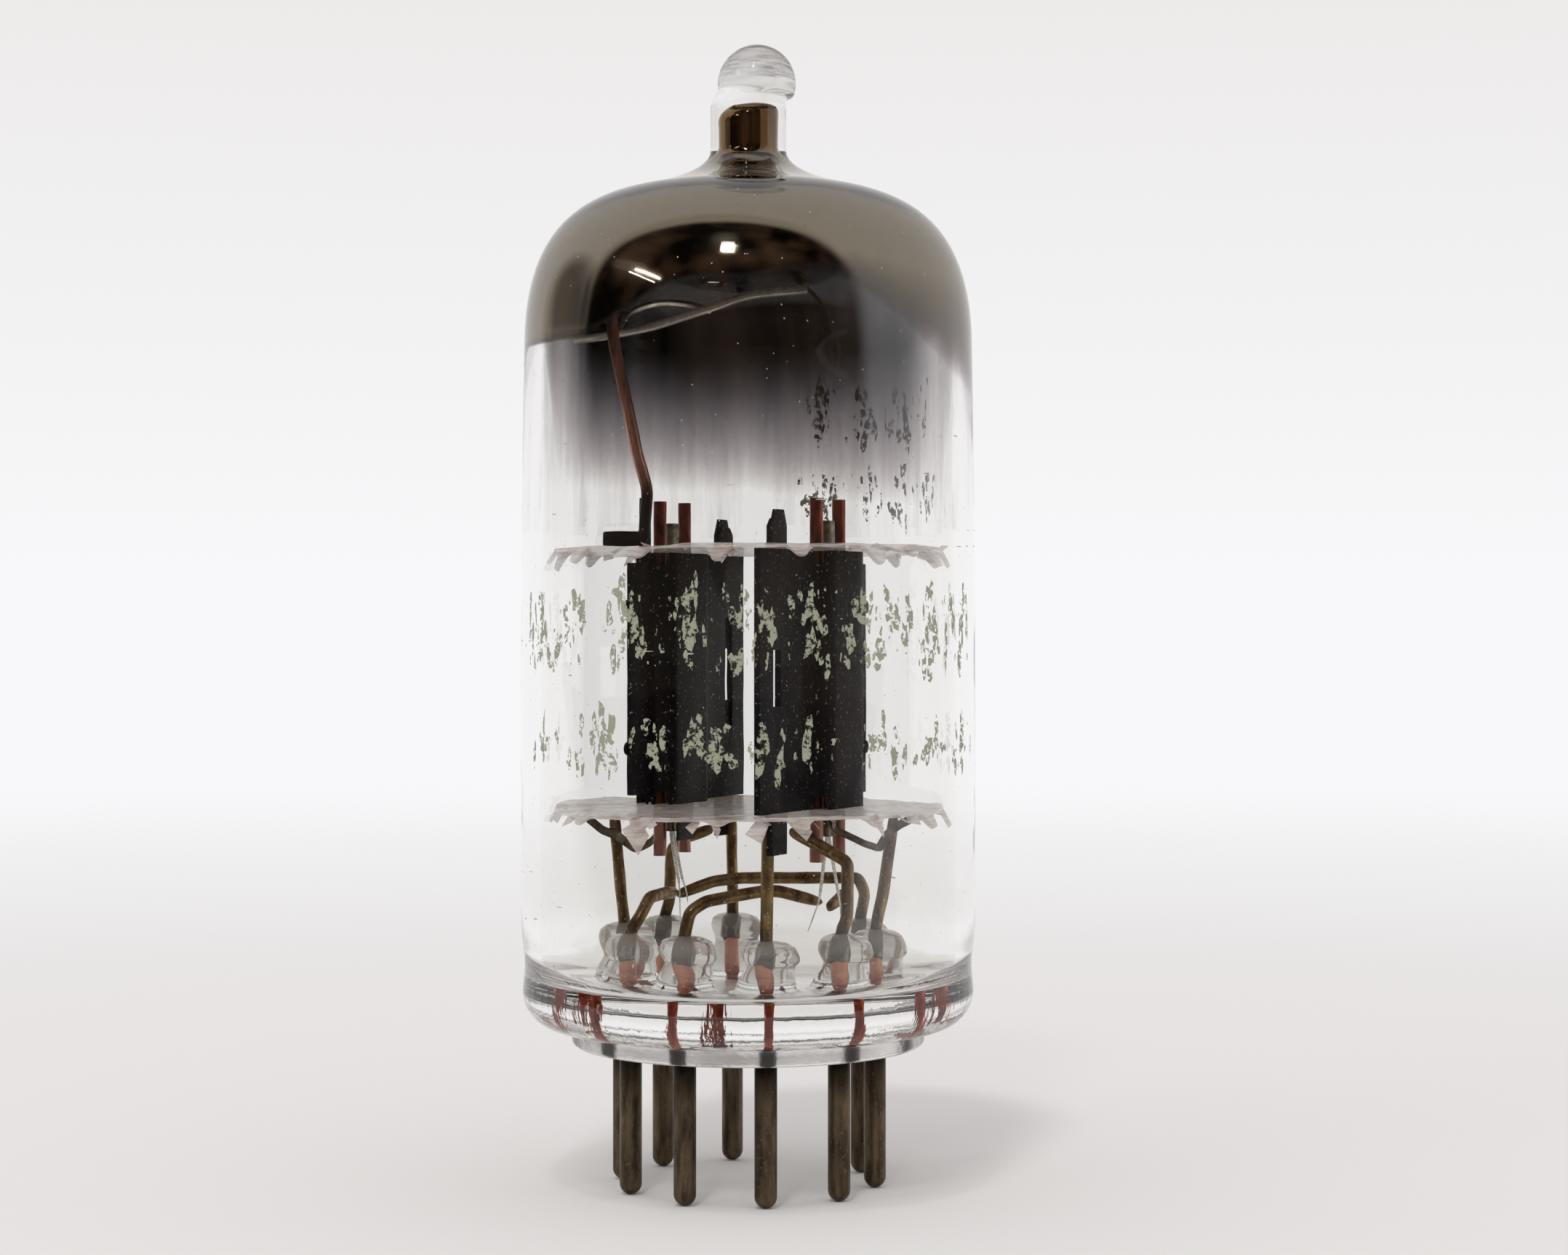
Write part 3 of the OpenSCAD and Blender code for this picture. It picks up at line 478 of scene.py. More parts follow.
# %% Sealed copper wires
def sealed_copper(n, rows=30, columns=16):
    """Rings up the wire's axis. The radius goes from 0.2 mm in the disc to 0.25 mm in the bead by a smooth
    step, and the centre moves by two slow waves of the height."""
    low, high = box_mm(f"seal_wire_{n}")
    z = np.linspace(low[2] + 0.02, max(high[2] + 0.15, FLOOR_Z + 1.75), rows)[:, None]
    step = np.clip((z - FLOOR_Z + 0.3) / 0.5, 0, 1)
    r = 0.2 + 0.05 * step * step * (3 - 2 * step) + 0.012 * np.sin(5 * z + n)
    a = np.linspace(0, 2 * math.pi, columns, endpoint=False)
    spot = PIN_SPOTS[n]
    x = spot[0] + 0.03 * np.sin(1.7 * z + 2 * n) + r * np.cos(a)
    y = spot[1] + 0.03 * np.sin(2.1 * z + n) + r * np.sin(a)
    last = (rows - 1) * columns
    faces = ring_faces(rows, columns) + [list(range(columns))[::-1], list(range(last, last + columns))]
    piece = add_piece(f"sealed_copper_{n}", np.stack([x, y, z + 0 * x], -1).reshape(-1, 3), faces)
    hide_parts(f"seal_wire_{n}")
    return piece


coppers = [sealed_copper(n) for n in range(1, 10)]
print("sealed wires:", len(coppers))

# %% [markdown]
# ## Pressed sheet
# The anodes are pressed from carbonised strip 0.15 mm thick. A press leaves no sharp corner, and the
# thin bright line on a bend is what makes sheet look like sheet. So each copy of a pressed part has its
# flat triangles joined to whole faces, and a narrow bevel along its bends and edges.


# %% Bevelled copies of the pressed parts
def bevelled_copy(node, name, width):
    """A copy of a node with whole flat faces, and a bevel of width millimetres on its bends and edges."""
    piece = merged_copy(node, name, lambda skin: bmesh.ops.dissolve_limit(
        skin, angle_limit=math.radians(1), verts=skin.verts, edges=skin.edges))
    edge = piece.modifiers.new("bend", "BEVEL")
    edge.width, edge.segments, edge.limit_method, edge.angle_limit = width * MM, 2, "ANGLE", math.radians(35)
    edge.harden_normals = edge.use_clamp_overlap = True
    return piece


sheets = {}
for unit in (1, 2):
    for half in ("outer", "inner"):
        name = f"anode_{unit}_{half}"
        sheets[name] = bevelled_copy(name, f"plate_{unit}_{half}", 0.035)
sheets["getter_channel"] = bevelled_copy("getter_channel", "getter_strip", 0.02)
print("pressed parts:", len(sheets))

# %% [markdown]
# ## Mica
# Mica splits into leaves, and a punched disc of it never lies quite flat: its rim curls where it is
# pushed into the bulb, and its teeth shatter into bright splinters. The disc keeps the model's holes and
# teeth. Its rim is raised by a slow wave, and each tooth is cut back by its own share. Thin splinters,
# made apart, stand off the rim at all angles, as the split leaves do.


# %% Warped mica discs
MICA_R, TEETH = 8.95, 16


def mica_disc(node, name, bow, side, shares):
    """A copy of a mica. Its height rises by bow times the square of how far out a point lies, waving with
    the angle. Beyond MICA_R a point keeps only its tooth's share of its overhang."""
    piece = merged_copy(node, name, lambda skin: None, smooth=False)
    place = read_corners(piece) / MM
    r, angle = np.hypot(place[:, 0], place[:, 1]), np.arctan2(place[:, 1], place[:, 0])
    tooth = np.round(angle / (2 * math.pi) * TEETH - 0.9).astype(int) % TEETH
    kept = np.array(shares)[tooth]
    level = np.median(place[:, 2])
    over = r > MICA_R
    shrink = np.where(over, (MICA_R + (r - MICA_R) * kept) / r, 1)
    place[:, :2] *= shrink[:, None]
    place[:, 2] = np.where(over, level + (place[:, 2] - level) * kept, place[:, 2])
    out = np.maximum(0, r / BULB_R - 0.45)
    wave = 0.6 + 0.5 * np.sin(2 * angle + side) + 0.35 * np.sin(3 * angle + 2 * side)
    place[:, 2] += bow * out**2 * (wave + 0.3 * np.sin(11 * angle + side))
    write_corners(piece, place * MM)
    return piece


micas = [mica_disc("mica_top", "mica_disc_top", -0.35, 0.4,
                   [0.9, 0.5, 0.7, 0.4, 0.8, 0.3, 0.6, 0.7, 1, 0.7, 0.75, 0.5, 0.8, 0.55, 0.9, 1]),
         mica_disc("mica_bottom", "mica_disc_bottom", 0.3, 2.1,
                   [1, 0.6, 0.3, 0.7, 0.5, 0.6, 0.4, 0.8, 1, 0.6, 0.4, 0.7, 0.3, 0.7, 0.5, 0.8])]
print("mica discs:", [len(m.data.polygons) for m in micas])


# %% Splinters of mica
def splinters(name, level, angle, root, tip, half_width, drop, twist):
    """Leaves 0.02 mm thick with four corners: root, left, tip and right. Each lies at an angle round the
    rim, from root to tip in radius. Its tip falls by drop, and twist raises its left corner and lowers its
    right one."""
    middle = root * 0.45 + tip * 0.55
    r = np.stack([root, middle, tip, middle], -1)
    a = angle[:, None] + np.stack([0 * angle, -half_width, 0.4 * half_width, half_width], -1) / r
    z = level + np.stack([0 * drop, -0.4 * drop + twist, -drop, -0.4 * drop - twist], -1)
    leaf = polar(r, a, z)
    points = np.stack([leaf, leaf + [0, 0, 0.02]], 1)
    first = np.arange(len(angle))[:, None] * 8
    quads = [[3, 2, 1, 0], [4, 5, 6, 7], [0, 1, 5, 4], [1, 2, 6, 5], [2, 3, 7, 6], [3, 0, 4, 7]]
    faces = np.concatenate([first + quad for quad in quads]).tolist()
    piece = add_piece(name, points.reshape(-1, 3), faces, smooth=False)
    return piece


# %% Where the splinters stand
# Each row of the loose flakes: degrees from the front, root, tip, half width, drop and twist.
hanging = {"top": [[-32, 8.7, 9.1, 0.7, 1.6, 0.1], [-8, 8.8, 9.2, 0.2, 0.8, 0.1],
                   [3, 8.7, 9.2, 0.5, 1.0, -0.2], [15, 8.8, 9.2, 0.5, 0.9, 0.15],
                   [39, 8.8, 9.2, 0.25, 0.9, 0.1]],
           "bottom": [[-7, 8.8, 9.2, 0.3, 0.8, 0.15], [46, 8.6, 9.35, 1.4, 0.45, 0.2],
                      [62, 8.6, 9.35, 1.2, 0.8, -0.15]]}
for side, count, loose in (("top", 26, hanging["bottom"]), ("bottom", 40, hanging["top"])):
    even = np.degrees(np.linspace(0, 2 * math.pi, count, endpoint=False))
    leaves = np.stack([even + rng.uniform(-5, 5, count), rng.uniform(7.9, 8.9, count), np.zeros(count),
                       rng.uniform(0.12, 0.42, count), rng.uniform(-0.2, 0.6, count),
                       rng.uniform(-0.2, 0.2, count)], -1)
    leaves[:, 2] = np.minimum(leaves[:, 1] + rng.uniform(0.6, 1.6, count), BORE_R - 0.3)
    leaves = np.vstack([leaves, loose])
    level = box_mm(f"mica_{side}")[1][2] - 0.16
    angle = FRONT + np.radians(leaves[:, 0])
    micas.append(splinters(f"mica_splinters_{side}", level, angle, *leaves[:, 1:].T))
print("splinters:", len(micas[2].data.polygons) // 6, len(micas[3].data.polygons) // 6)

# %% [markdown]
# ## Grid windings
# Each grid is wound of wire thinner than a hair, about eight turns to the millimetre, round its two
# copper rods. The model has a coarse winding; here is the real one: a helix whose plan is a long
# loop, half a turn round each rod with a straight run between.


# %% Fine windings
def winding(unit, pitch=0.125, wire_r=0.024):
    """A tube round a path. The path goes round a long loop (two half circles of the rod's radius, joined by
    straight runs) and climbs one pitch a turn. The tube has four sides."""
    low, high = box_mm(f"grid_{unit}_winding")
    front, rear = box_mm(f"grid_{unit}_front_rod"), box_mm(f"grid_{unit}_rear_rod")
    x = (front[0][0] + front[1][0]) / 2
    y0, y1 = (front[0][1] + front[1][1]) / 2, (rear[0][1] + rear[1][1]) / 2
    loop_r = (front[1][0] - front[0][0]) / 2 + wire_r
    half = np.linspace(0, math.pi, 9)
    loop = np.vstack([np.stack([x + loop_r * np.cos(half), y1 + loop_r * np.sin(half)], -1),
                      np.stack([x - loop_r * np.cos(half), y0 - loop_r * np.sin(half)], -1)])
    turns = int((high[2] - low[2]) / pitch)
    plan = np.tile(loop, (turns, 1))
    path = np.column_stack([plan, np.linspace(low[2] + 0.05, high[2] - 0.05, len(plan))])
    ahead = np.gradient(path, axis=0)
    ahead /= np.linalg.norm(ahead, axis=1)[:, None]
    side = np.cross(ahead, [0, 0, 1])
    side /= np.linalg.norm(side, axis=1)[:, None]
    over = np.cross(side, ahead)
    corner = np.radians([45, 135, 225, 315])[:, None, None]
    tube = path + wire_r * (np.cos(corner) * side + np.sin(corner) * over)
    tube = tube.transpose(1, 0, 2)
    faces = ring_faces(len(path), 4, flip=True)
    faces += [[0, 1, 2, 3], [len(path) * 4 - k for k in (1, 2, 3, 4)]]
    piece = add_piece(f"grid_{unit}_fine_winding", tube.reshape(-1, 3), faces)
    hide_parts(f"grid_{unit}_winding")
    return piece


windings = [winding(1), winding(2)]
print("windings:", [len(w.data.polygons) for w in windings], "faces")

# %% [markdown]
# ## Welds in the beads
# Each lead is butt-welded to its copper wire just under the top of the bead. The weld is a dark knot,
# thicker than the wire and never quite round. All nine are one mesh: a ball whose radius changes with
# two waves of the angle.

# %% Nine weld knots
WELD_Z, KNOT_R, KNOT_ROWS, KNOT_COLUMNS = FLOOR_Z + 1.85, 0.28, 7, 14
across, up = np.meshgrid(np.linspace(0, 2 * math.pi, KNOT_COLUMNS, endpoint=False),
                         np.linspace(-math.pi / 2, math.pi / 2, KNOT_ROWS + 2)[1:-1])
knots, faces = [], []
for n, spot in PIN_SPOTS.items():
    lumpy = 1 + 0.12 * np.sin(2 * across + n) + 0.1 * np.sin(3 * up + 2 * n)
    out = KNOT_R * lumpy * np.cos(up)
    base, end = len(knots) * up.size, (len(knots) + 1) * up.size
    knots.append((polar(out, across, WELD_Z + 0.24 * np.sin(up)) + [*spot, 0]).reshape(-1, 3))
    faces += ring_faces(KNOT_ROWS, KNOT_COLUMNS, base)
    faces += [list(range(base, base + KNOT_COLUMNS))[::-1], list(range(end - KNOT_COLUMNS, end))]
knot_piece = add_piece("weld_knots", np.concatenate(knots), faces)
print("weld knots:", len(faces), "faces")

# %% [markdown]
# ## Ink and dust
# Two lines were once printed round the bulb, and more on its far side. Here their place holds what wear
# leaves of any print: ragged chips of grey-green ink that form no letters. A tube this old also carries
# dust and fine fibres. Chip and dust grain are one shape: a ragged flat outline that lies on the wall,
# 0.003 mm thick.

# %% Chips that lie on the glass
CHIP_SKINS = (0.0015, 0.0045)  # how far a chip's two faces lie off the glass, in millimetres
skin_rows = outside[len(under) + len(rolled):]
skin_length = np.concatenate([[0], np.cumsum(np.hypot(*np.diff(skin_rows, axis=0).T))])
print("wall and dome measure", round(skin_length[-1], 1), "mm along their profile")


def chips(name, angle, height, width, tall, ragged=0.35, sides=12):
    """Closed chips on the outside of the bulb. Corner k lies at the angle 2 pi k / sides of an ellipse whose
    radius waves at random; its place is found by angle and by length along the wall's profile."""
    count = len(angle)
    k = np.arange(sides) * 2 * math.pi / sides
    swell = 1 + ragged * np.sin(2 * k + rng.uniform(0, 6, (count, 1)))
    swell = swell + ragged * rng.uniform(-1, 1, (count, sides))
    along = np.interp(height, skin_rows[:, 1], skin_length)[:, None] + tall[:, None] / 2 * swell * np.sin(k)
    r = np.interp(along, skin_length, skin_rows[:, 0])
    a = angle[:, None] + width[:, None] / 2 * swell * np.cos(k) / r
    slope_r, slope_z = np.gradient(skin_rows[:, 0], skin_length), np.gradient(skin_rows[:, 1], skin_length)
    out_r, out_z = np.interp(along, skin_length, slope_z), -np.interp(along, skin_length, slope_r)
    z = np.interp(along, skin_length, skin_rows[:, 1])
    points = np.stack([polar(r + off * out_r, a, z + off * out_z) for off in CHIP_SKINS], 1)
    first = np.arange(count)[:, None] * 2 * sides
    ring = np.arange(sides)
    caps = np.concatenate([first + ring[::-1], first + sides + ring]).tolist()
    side = np.stack([ring, np.roll(ring, -1), np.roll(ring, -1) + sides, ring + sides], -1)
    walls = (first[:, :, None] + side).reshape(-1, 4).tolist()
    return add_piece(name, points.reshape(-1, 3), caps + walls, smooth=False)


# %% Worn ink
def clustered(count, low, high, groups):
    """Angles from the front: each falls round one of a few even centres, so that chips come in groups."""
    centre = np.linspace(low, high, groups)[rng.integers(0, groups, count)]
    return FRONT + np.radians(centre + rng.normal(0, 0.3 * (high - low) / groups, count))


# Each row of the bands: how many chips, from and to which degree from the front, in how many groups, at
# which height and how far above and below it.
bands = [(230, -62, 66, 9, 25.8, 1.7), (130, -60, 66, 11, 20.65, 1.0), (70, 118, 158, 4, 36.4, 1.3),
         (70, 118, 158, 4, 32.3, 1.4)]
angle = np.concatenate([clustered(n, low, high, groups) for n, low, high, groups, mid, reach in bands])
height = np.concatenate([mid + reach * rng.uniform(-1, 1, n) for n, low, high, groups, mid, reach in bands])
count = len(angle)
size = 0.12 + 0.75 * rng.random(count) ** 2
ink = chips("worn_ink", angle, height, size * rng.uniform(0.35, 0.8, count),
            size * rng.uniform(0.9, 2.2, count), ragged=0.4)
print("ink chips:", count)

# %% Dust and fibres
count = 700
height = rng.uniform(FLOOR_Z + 1.5, NECK_Z - 1, count)
long = rng.random(count) < 0.06
dust = chips("dust", rng.uniform(0, 2 * math.pi, count), height, rng.uniform(0.02, 0.07, count) + 0.45 * long,
             rng.uniform(0.02, 0.08, count), ragged=0.25, sides=8)
print("dust grains:", count)

# %% [markdown]
# ## Materials
# Each finish is built from a few nodes on Object coordinates, which are metres here, so a noise of
# scale 1000 has lumps of about a millimetre. One helper adds a node; another turns the hex code of a
# colour, as a paint chart gives it, into the linear numbers that Blender works with.


# %% Material helpers
def srgb(code):
    """Linear colour of an sRGB hex code: below 0.04 divided by 12.92, above it the 2.4th power."""
    values = np.array([int(code[i:i + 2], 16) for i in (1, 3, 5)]) / 255
    linear = np.where(values <= 0.04045, values / 12.92, ((values + 0.055) / 1.055) ** 2.4)
    return (*linear.tolist(), 1.0)


def add(tree, kind, links=None, **settings):
    """Adds one shader node. Settings are its own properties. Links give its sockets a number, a hex colour
    or another node, which then stands for the first of its outputs that is in use."""
    node = tree.nodes.new("ShaderNode" + kind)
    for key, value in settings.items():
        setattr(node, key, value)
    for key, value in (links or {}).items():
        if isinstance(value, bpy.types.Node):
            value = next(output for output in value.outputs if output.enabled)
        if isinstance(value, bpy.types.NodeSocket):
            tree.links.new(value, node.inputs[key])
        else:
            node.inputs[key].default_value = srgb(value) if isinstance(value, str) else value
    return node


def finish_of(name, pieces, surface, more=False):
    """A material named for its finish: surface(tree, coordinates) returns the shader, and the pieces get it,
    in place of what they have, or after it where more is true."""
    material = bpy.data.materials.new(name)
    material.use_nodes = True
    tree = material.node_tree
    tree.nodes.clear()
    place = add(tree, "TexCoord").outputs["Object"]
    add(tree, "OutputMaterial", {"Surface": surface(tree, place)})
    for piece in pieces:
        if not more:
            piece.data.materials.clear()
        piece.data.materials.append(material)
    print("finish:", name, "with", len(tree.nodes), "nodes")


# %% [markdown]
# ### Soda-lime glass, blown and pressed
# Clear glass with an IOR near 1.5. The wall is smooth from the flame, with long faint waves in it. The
# pressed boss is finely pitted and slightly frosted, the rolled rim has fine upright wrinkles, and the
# melted drop has cords in its relief. Its grey streaks are a painted reflection of the dark room that it
# mirrors. Tiny bubbles make the beads milky, most of all in their caps, over the welds, and a grey tint in
# them is painted shade for the dark parts that they reflect and refract.
# Light that a lamp sends to the parts inside can't be found through a bent surface, so for shadow rays and
# for the second bounce the glass stands aside.


# %% Glass
def clear_glass(tree, place):
    """Clear glass. Masks from 0 to 1, by height or by distance from the axis in millimetres, find its parts.
    Each kind of relief is noise in one of them, with lumps of 1000 / scale mm, drawn out upwards."""
    height = add(tree, "SeparateXYZ", {"Vector": place}).outputs["Z"]
    plan = add(tree, "VectorMath", {0: place, 1: (1.0, 1.0, 0.0)}, operation="MULTIPLY")
    across = add(tree, "VectorMath", {0: plan}, operation="LENGTH")
    mask = {}
    for name, by, start, end in (
            ("boss", height, RIM_Z + 0.15, RIM_Z - 0.1), ("drop", height, DROP_Z - 0.17, DROP_Z + 0.33),
            ("over rim", height, RIM_Z, RIM_Z + 0.25), ("under wall", height, ROLL_Z + 0.7, ROLL_Z),
            ("inside", across, 8.2, 7.8), ("over floor", height, FLOOR_Z + 0.4, FLOOR_Z + 1.2),
            ("under cage", height, FLOOR_Z + 2.9, FLOOR_Z + 2.8)):
        mask[name] = add(tree, "MapRange", {"Value": by, "From Min": start * MM, "From Max": end * MM})
    for name, one, other in (("rim", "over rim", "under wall"), ("bead height", "over floor", "under cage"),
                             ("bead", "inside", "bead height")):
        mask[name] = add(tree, "Math", {0: mask[one], 1: mask[other]}, operation="MULTIPLY")
    under = {}
    for name, scale, drawn, detail, strength, depth in (
            ("wall", 220.0, 1.0, 2.0, 0.25, 0.08), ("boss", 1600.0, 1.0, 3.0, 0.7, 0.06),
            ("rim", 2600.0, 9.0, 3.0, 0.55, 0.03), ("drop", 700.0, 0.14, 4.0, 0.5, 0.06)):
        stretched = add(tree, "Mapping", {"Vector": place, "Scale": (1.0, 1.0, 1 / drawn)})
        pattern = add(tree, "TexNoise", {"Vector": stretched, "Scale": scale, "Detail": detail})
        if name in mask:
            strength = add(tree, "Math", {0: mask[name], 1: strength}, operation="MULTIPLY")
        relief = add(tree, "Bump", {
            "Height": pattern, "Strength": strength, "Distance": depth * MM, **under})
        under = {"Normal": relief}
    # The drop's grey streaks are a painted reflection: they stand for the dark room that the drop mirrors.
    drop_painted_streak = add(tree, "MapRange", {"Value": pattern, "From Min": 0.42, "From Max": 0.62, "To Min": 0.35})
    cap = add(tree, "MapRange", {"Value": height, "From Min": (FLOOR_Z + 1.85) * MM,
                                 "From Max": (FLOOR_Z + 2.1) * MM, "To Min": 0.17, "To Max": 0.32})
    share = [add(tree, "Math", {0: mask[name], 1: amount}, operation="MULTIPLY") for name, amount in (
        ("drop", drop_painted_streak), ("bead", 0.2), ("boss", 0.26), ("bead", 0.05), ("bead", cap))]
    # In the beads, the 0.2 share of grey is painted shade for the dark parts that they reflect and refract.
    # In the drop, the grey is the painted reflection.
    tint = add(tree, "Math", {0: share[0], 1: share[1]}, operation="MAXIMUM")
    frost = add(tree, "Math", {0: share[2], 1: share[3]}, operation="MAXIMUM")
    body = add(tree, "Mix", {0: tint, 6: "#f9f9f7", 7: "#8f8a86"}, data_type="RGBA")
    clear = add(tree, "BsdfPrincipled", {
        "Base Color": body, "Roughness": frost, "IOR": 1.5, "Transmission Weight": 1.0, "Normal": relief})
    milky = add(tree, "BsdfDiffuse", {"Color": "#c9c1b6", "Normal": relief})
    seen = add(tree, "MixShader", {0: share[4], 1: clear, 2: milky})
    steep = add(tree, "LayerWeight", {"Blend": 0.35}).outputs["Facing"]
    loss = add(tree, "Mix", {0: steep, 6: "#fcfcfb", 7: "#c6c6c5"}, data_type="RGBA")
    aside = add(tree, "BsdfTransparent", {"Color": loss})
    ray = add(tree, "LightPath").outputs
    second = add(tree, "Math", {0: ray["Is Shadow Ray"], 1: ray["Is Diffuse Ray"]}, operation="MAXIMUM")
    return add(tree, "MixShader", {0: second, 1: seen, 2: aside})


finish_of("soda_lime_glass", [glass], clear_glass)


# %% [markdown]
# ### Barium mirror
# Freshly flashed barium is a silver-grey mirror where it meets the glass. The side that faces the cage is
# painted a matt black, as painted shade for the dark inside that this side mirrors. Towards the cage the
# film is only a few atoms thick: it turns brown, then lavender-grey, and ends in soft streaks that run down
# the wall.


# %% Getter mirror
def film_cover(tree, place):
    """Share of the light that each side of the film stops: the reach plus one, shifted by upright streaks."""
    reach = add(tree, "Attribute", attribute_name="reach").outputs["Fac"]
    drawn = add(tree, "Mapping", {"Vector": place, "Scale": (1.0, 1.0, 0.1)})
    streak = add(tree, "TexNoise", {"Vector": drawn, "Scale": 900.0, "Detail": 6.0, "Roughness": 0.65})
    shift = add(tree, "MapRange", {
        "Value": streak, "From Min": 0.3, "From Max": 0.7, "To Min": -0.05, "To Max": 0.05})
    level = add(tree, "Math", {0: reach, 1: shift}, operation="ADD")
    return add(tree, "Math", {0: level, 1: 1.0}, operation="ADD", use_clamp=True), streak


def tinted_film(tree, cover, body):
    """The body where the film is whole, and elsewhere what it lets through: rosy if thinnest, then blue."""
    begun = add(tree, "MapRange", {"Value": cover, "From Max": 0.25})
    tint = add(tree, "Mix", {0: begun, 6: "#ffffff", 7: "#f8f3f2"}, data_type="RGBA")
    tint = add(tree, "Mix", {0: cover, 6: tint, 7: "#cfccd6"}, data_type="RGBA")
    passed = add(tree, "BsdfTransparent", {"Color": tint})
    return add(tree, "MixShader", {0: cover, 1: passed, 2: body})


def barium_mirror(tree, place):
    """What the glass side shows: a silver-grey mirror, burnt to brown streaks in the bore over the neck."""
    cover, streak = film_cover(tree, place)
    height = add(tree, "SeparateXYZ", {"Vector": place}).outputs["Z"]
    neck = add(tree, "MapRange", {"Value": height, "From Min": (NECK_Z - 0.8) * MM, "From Max": NECK_Z * MM})
    burnt = add(tree, "MapRange", {"Value": streak, "From Min": 0.35, "From Max": 0.6})
    brown = add(tree, "Mix", {0: burnt, 6: "#5a4128", 7: "#8b7350"}, data_type="RGBA")
    colour = add(tree, "Mix", {0: neck, 6: "#827869", 7: brown}, data_type="RGBA")
    haze = add(tree, "MapRange", {"Value": streak, "To Min": 0.03, "To Max": 0.09})
    body = add(tree, "BsdfPrincipled", {"Base Color": colour, "Metallic": 1.0, "Roughness": haze})
    return tinted_film(tree, cover, body)


def film_inner_painted_black(tree, place):
    """What the cage side shows: a painted matt black that stands for the dark inside this side mirrors,
    greyer where the film is thin.
    """
    cover, streak = film_cover(tree, place)
    thick = add(tree, "MapRange", {"Value": cover, "From Min": 0.5, "From Max": 0.99})
    colour = add(tree, "Mix", {0: thick, 6: "#46423f", 7: "#060506"}, data_type="RGBA")
    haze = add(tree, "MapRange", {"Value": streak, "To Min": 0.5, "To Max": 0.7})
    body = add(tree, "BsdfPrincipled", {"Base Color": colour, "Roughness": haze, "Specular IOR Level": 0.04})
    return tinted_film(tree, cover, body)


finish_of("barium_mirror", [film], barium_mirror)
finish_of("film_inner_painted_black", [film], film_inner_painted_black, more=True)
# The inner layer's faces get the painted black that stands for the dark inside that the film mirrors.
outer_faces = (len(layers[0]) - 1) * FILM_COLUMNS
is_painted_black_side = np.arange(len(film.data.polygons)) >= outer_faces
film.data.polygons.foreach_set("material_index", is_painted_black_side.astype(np.int32))


# %% [markdown]
# ### Metals of the cage and the base
# Pins of nickel iron have gone brown-grey with handling. The leads are nickel wire, yellowed by heat.
# The wire in the glass is copper-clad, red as it always is in a seal. Rods are copper. None of them
# is bright, so each gets a mottle of two colours and a broken roughness.


# %% Dull metals
def dull_metal(light, dark, rough, lumps, drawn=1.0, burnt=None, speck=None):
    """A surface whose colour goes from dark to light by noise, with lumps of the given size in millimetres,
    drawn out along the height by a factor. burnt is a colour and the two heights between which the metal
    turns to it. speck is the colour of small bright specks."""
    def surface(tree, place):
        long = add(tree, "Mapping", {"Vector": place, "Scale": (1.0, 1.0, 1 / drawn)})
        grain = add(tree, "TexNoise", {
            "Vector": long, "Scale": 1000 / lumps, "Detail": 5.0, "Roughness": 0.6})
        share = add(tree, "MapRange", {"Value": grain, "From Min": 0.35, "From Max": 0.65})
        colour = add(tree, "Mix", {0: share, 6: dark, 7: light}, data_type="RGBA")
        if speck:
            dots = add(tree, "TexNoise", {"Vector": place, "Scale": 6500.0, "Detail": 2.0})
            bright = add(tree, "MapRange", {"Value": dots, "From Min": 0.64, "From Max": 0.7})
            colour = add(tree, "Mix", {0: bright, 6: colour, 7: speck}, data_type="RGBA")
        if burnt:
            height = add(tree, "SeparateXYZ", {"Vector": place}).outputs["Z"]
            ragged = add(tree, "Math", {0: grain, 1: 1.2 * MM, 2: height}, operation="MULTIPLY_ADD")
            turned = add(tree, "MapRange", {
                "Value": ragged, "From Min": (burnt[1] + 0.6) * MM, "From Max": (burnt[2] + 0.6) * MM})
            colour = add(tree, "Mix", {0: turned, 6: colour, 7: burnt[0]}, data_type="RGBA")
        broken = add(tree, "MapRange", {"Value": grain, "From Min": 0.3, "From Max": 0.7,
                                        "To Min": rough + 0.1, "To Max": rough - 0.08})
        bump = add(tree, "Bump", {"Height": grain, "Strength": 0.25, "Distance": 0.02 * MM})
        return add(tree, "BsdfPrincipled", {
            "Base Color": colour, "Metallic": 1.0, "Roughness": broken, "Normal": bump})
    return surface


finish_of("oxidised_pin_metal", [nodes[f"pin_{n}"] for n in range(1, 10)],
          dull_metal("#6a5c49", "#40362b", 0.42, 0.4, drawn=5, burnt=("#15130f", 4.6, 6.2), speck="#6d6254"))
finish_of("borated_copper", coppers,
          dull_metal("#b0573f", "#6e2f24", 0.4, 0.5, burnt=("#dd9474", 9.6, 10.8), speck="#e0b8a4"))
finish_of("oxidised_weld", [knot_piece],
          dull_metal("#a29d95", "#4a4745", 0.42, 0.3, burnt=("#24211f", WELD_Z, WELD_Z - 0.2),
                     speck="#c9c4bc"))
finish_of("heated_nickel_wire", [w for k, w in wires.items() if k.startswith(("lead", "heater_stub"))],
          dull_metal("#977e59", "#594631", 0.36, 0.5, drawn=3, burnt=("#1d1c20", 12.9, 11.4),
                     speck="#b8a584"))
finish_of("copper_rod", [nodes[f"grid_{u}_{s}_rod"] for u in (1, 2) for s in ("front", "rear")],
          dull_metal("#8b4a3b", "#47231c", 0.4, 0.5, drawn=3, burnt=("#a07468", 17.6, 17.1)))
finish_of("fine_grid_wire", windings, dull_metal("#b5793f", "#7a4a2b", 0.4, 0.3))
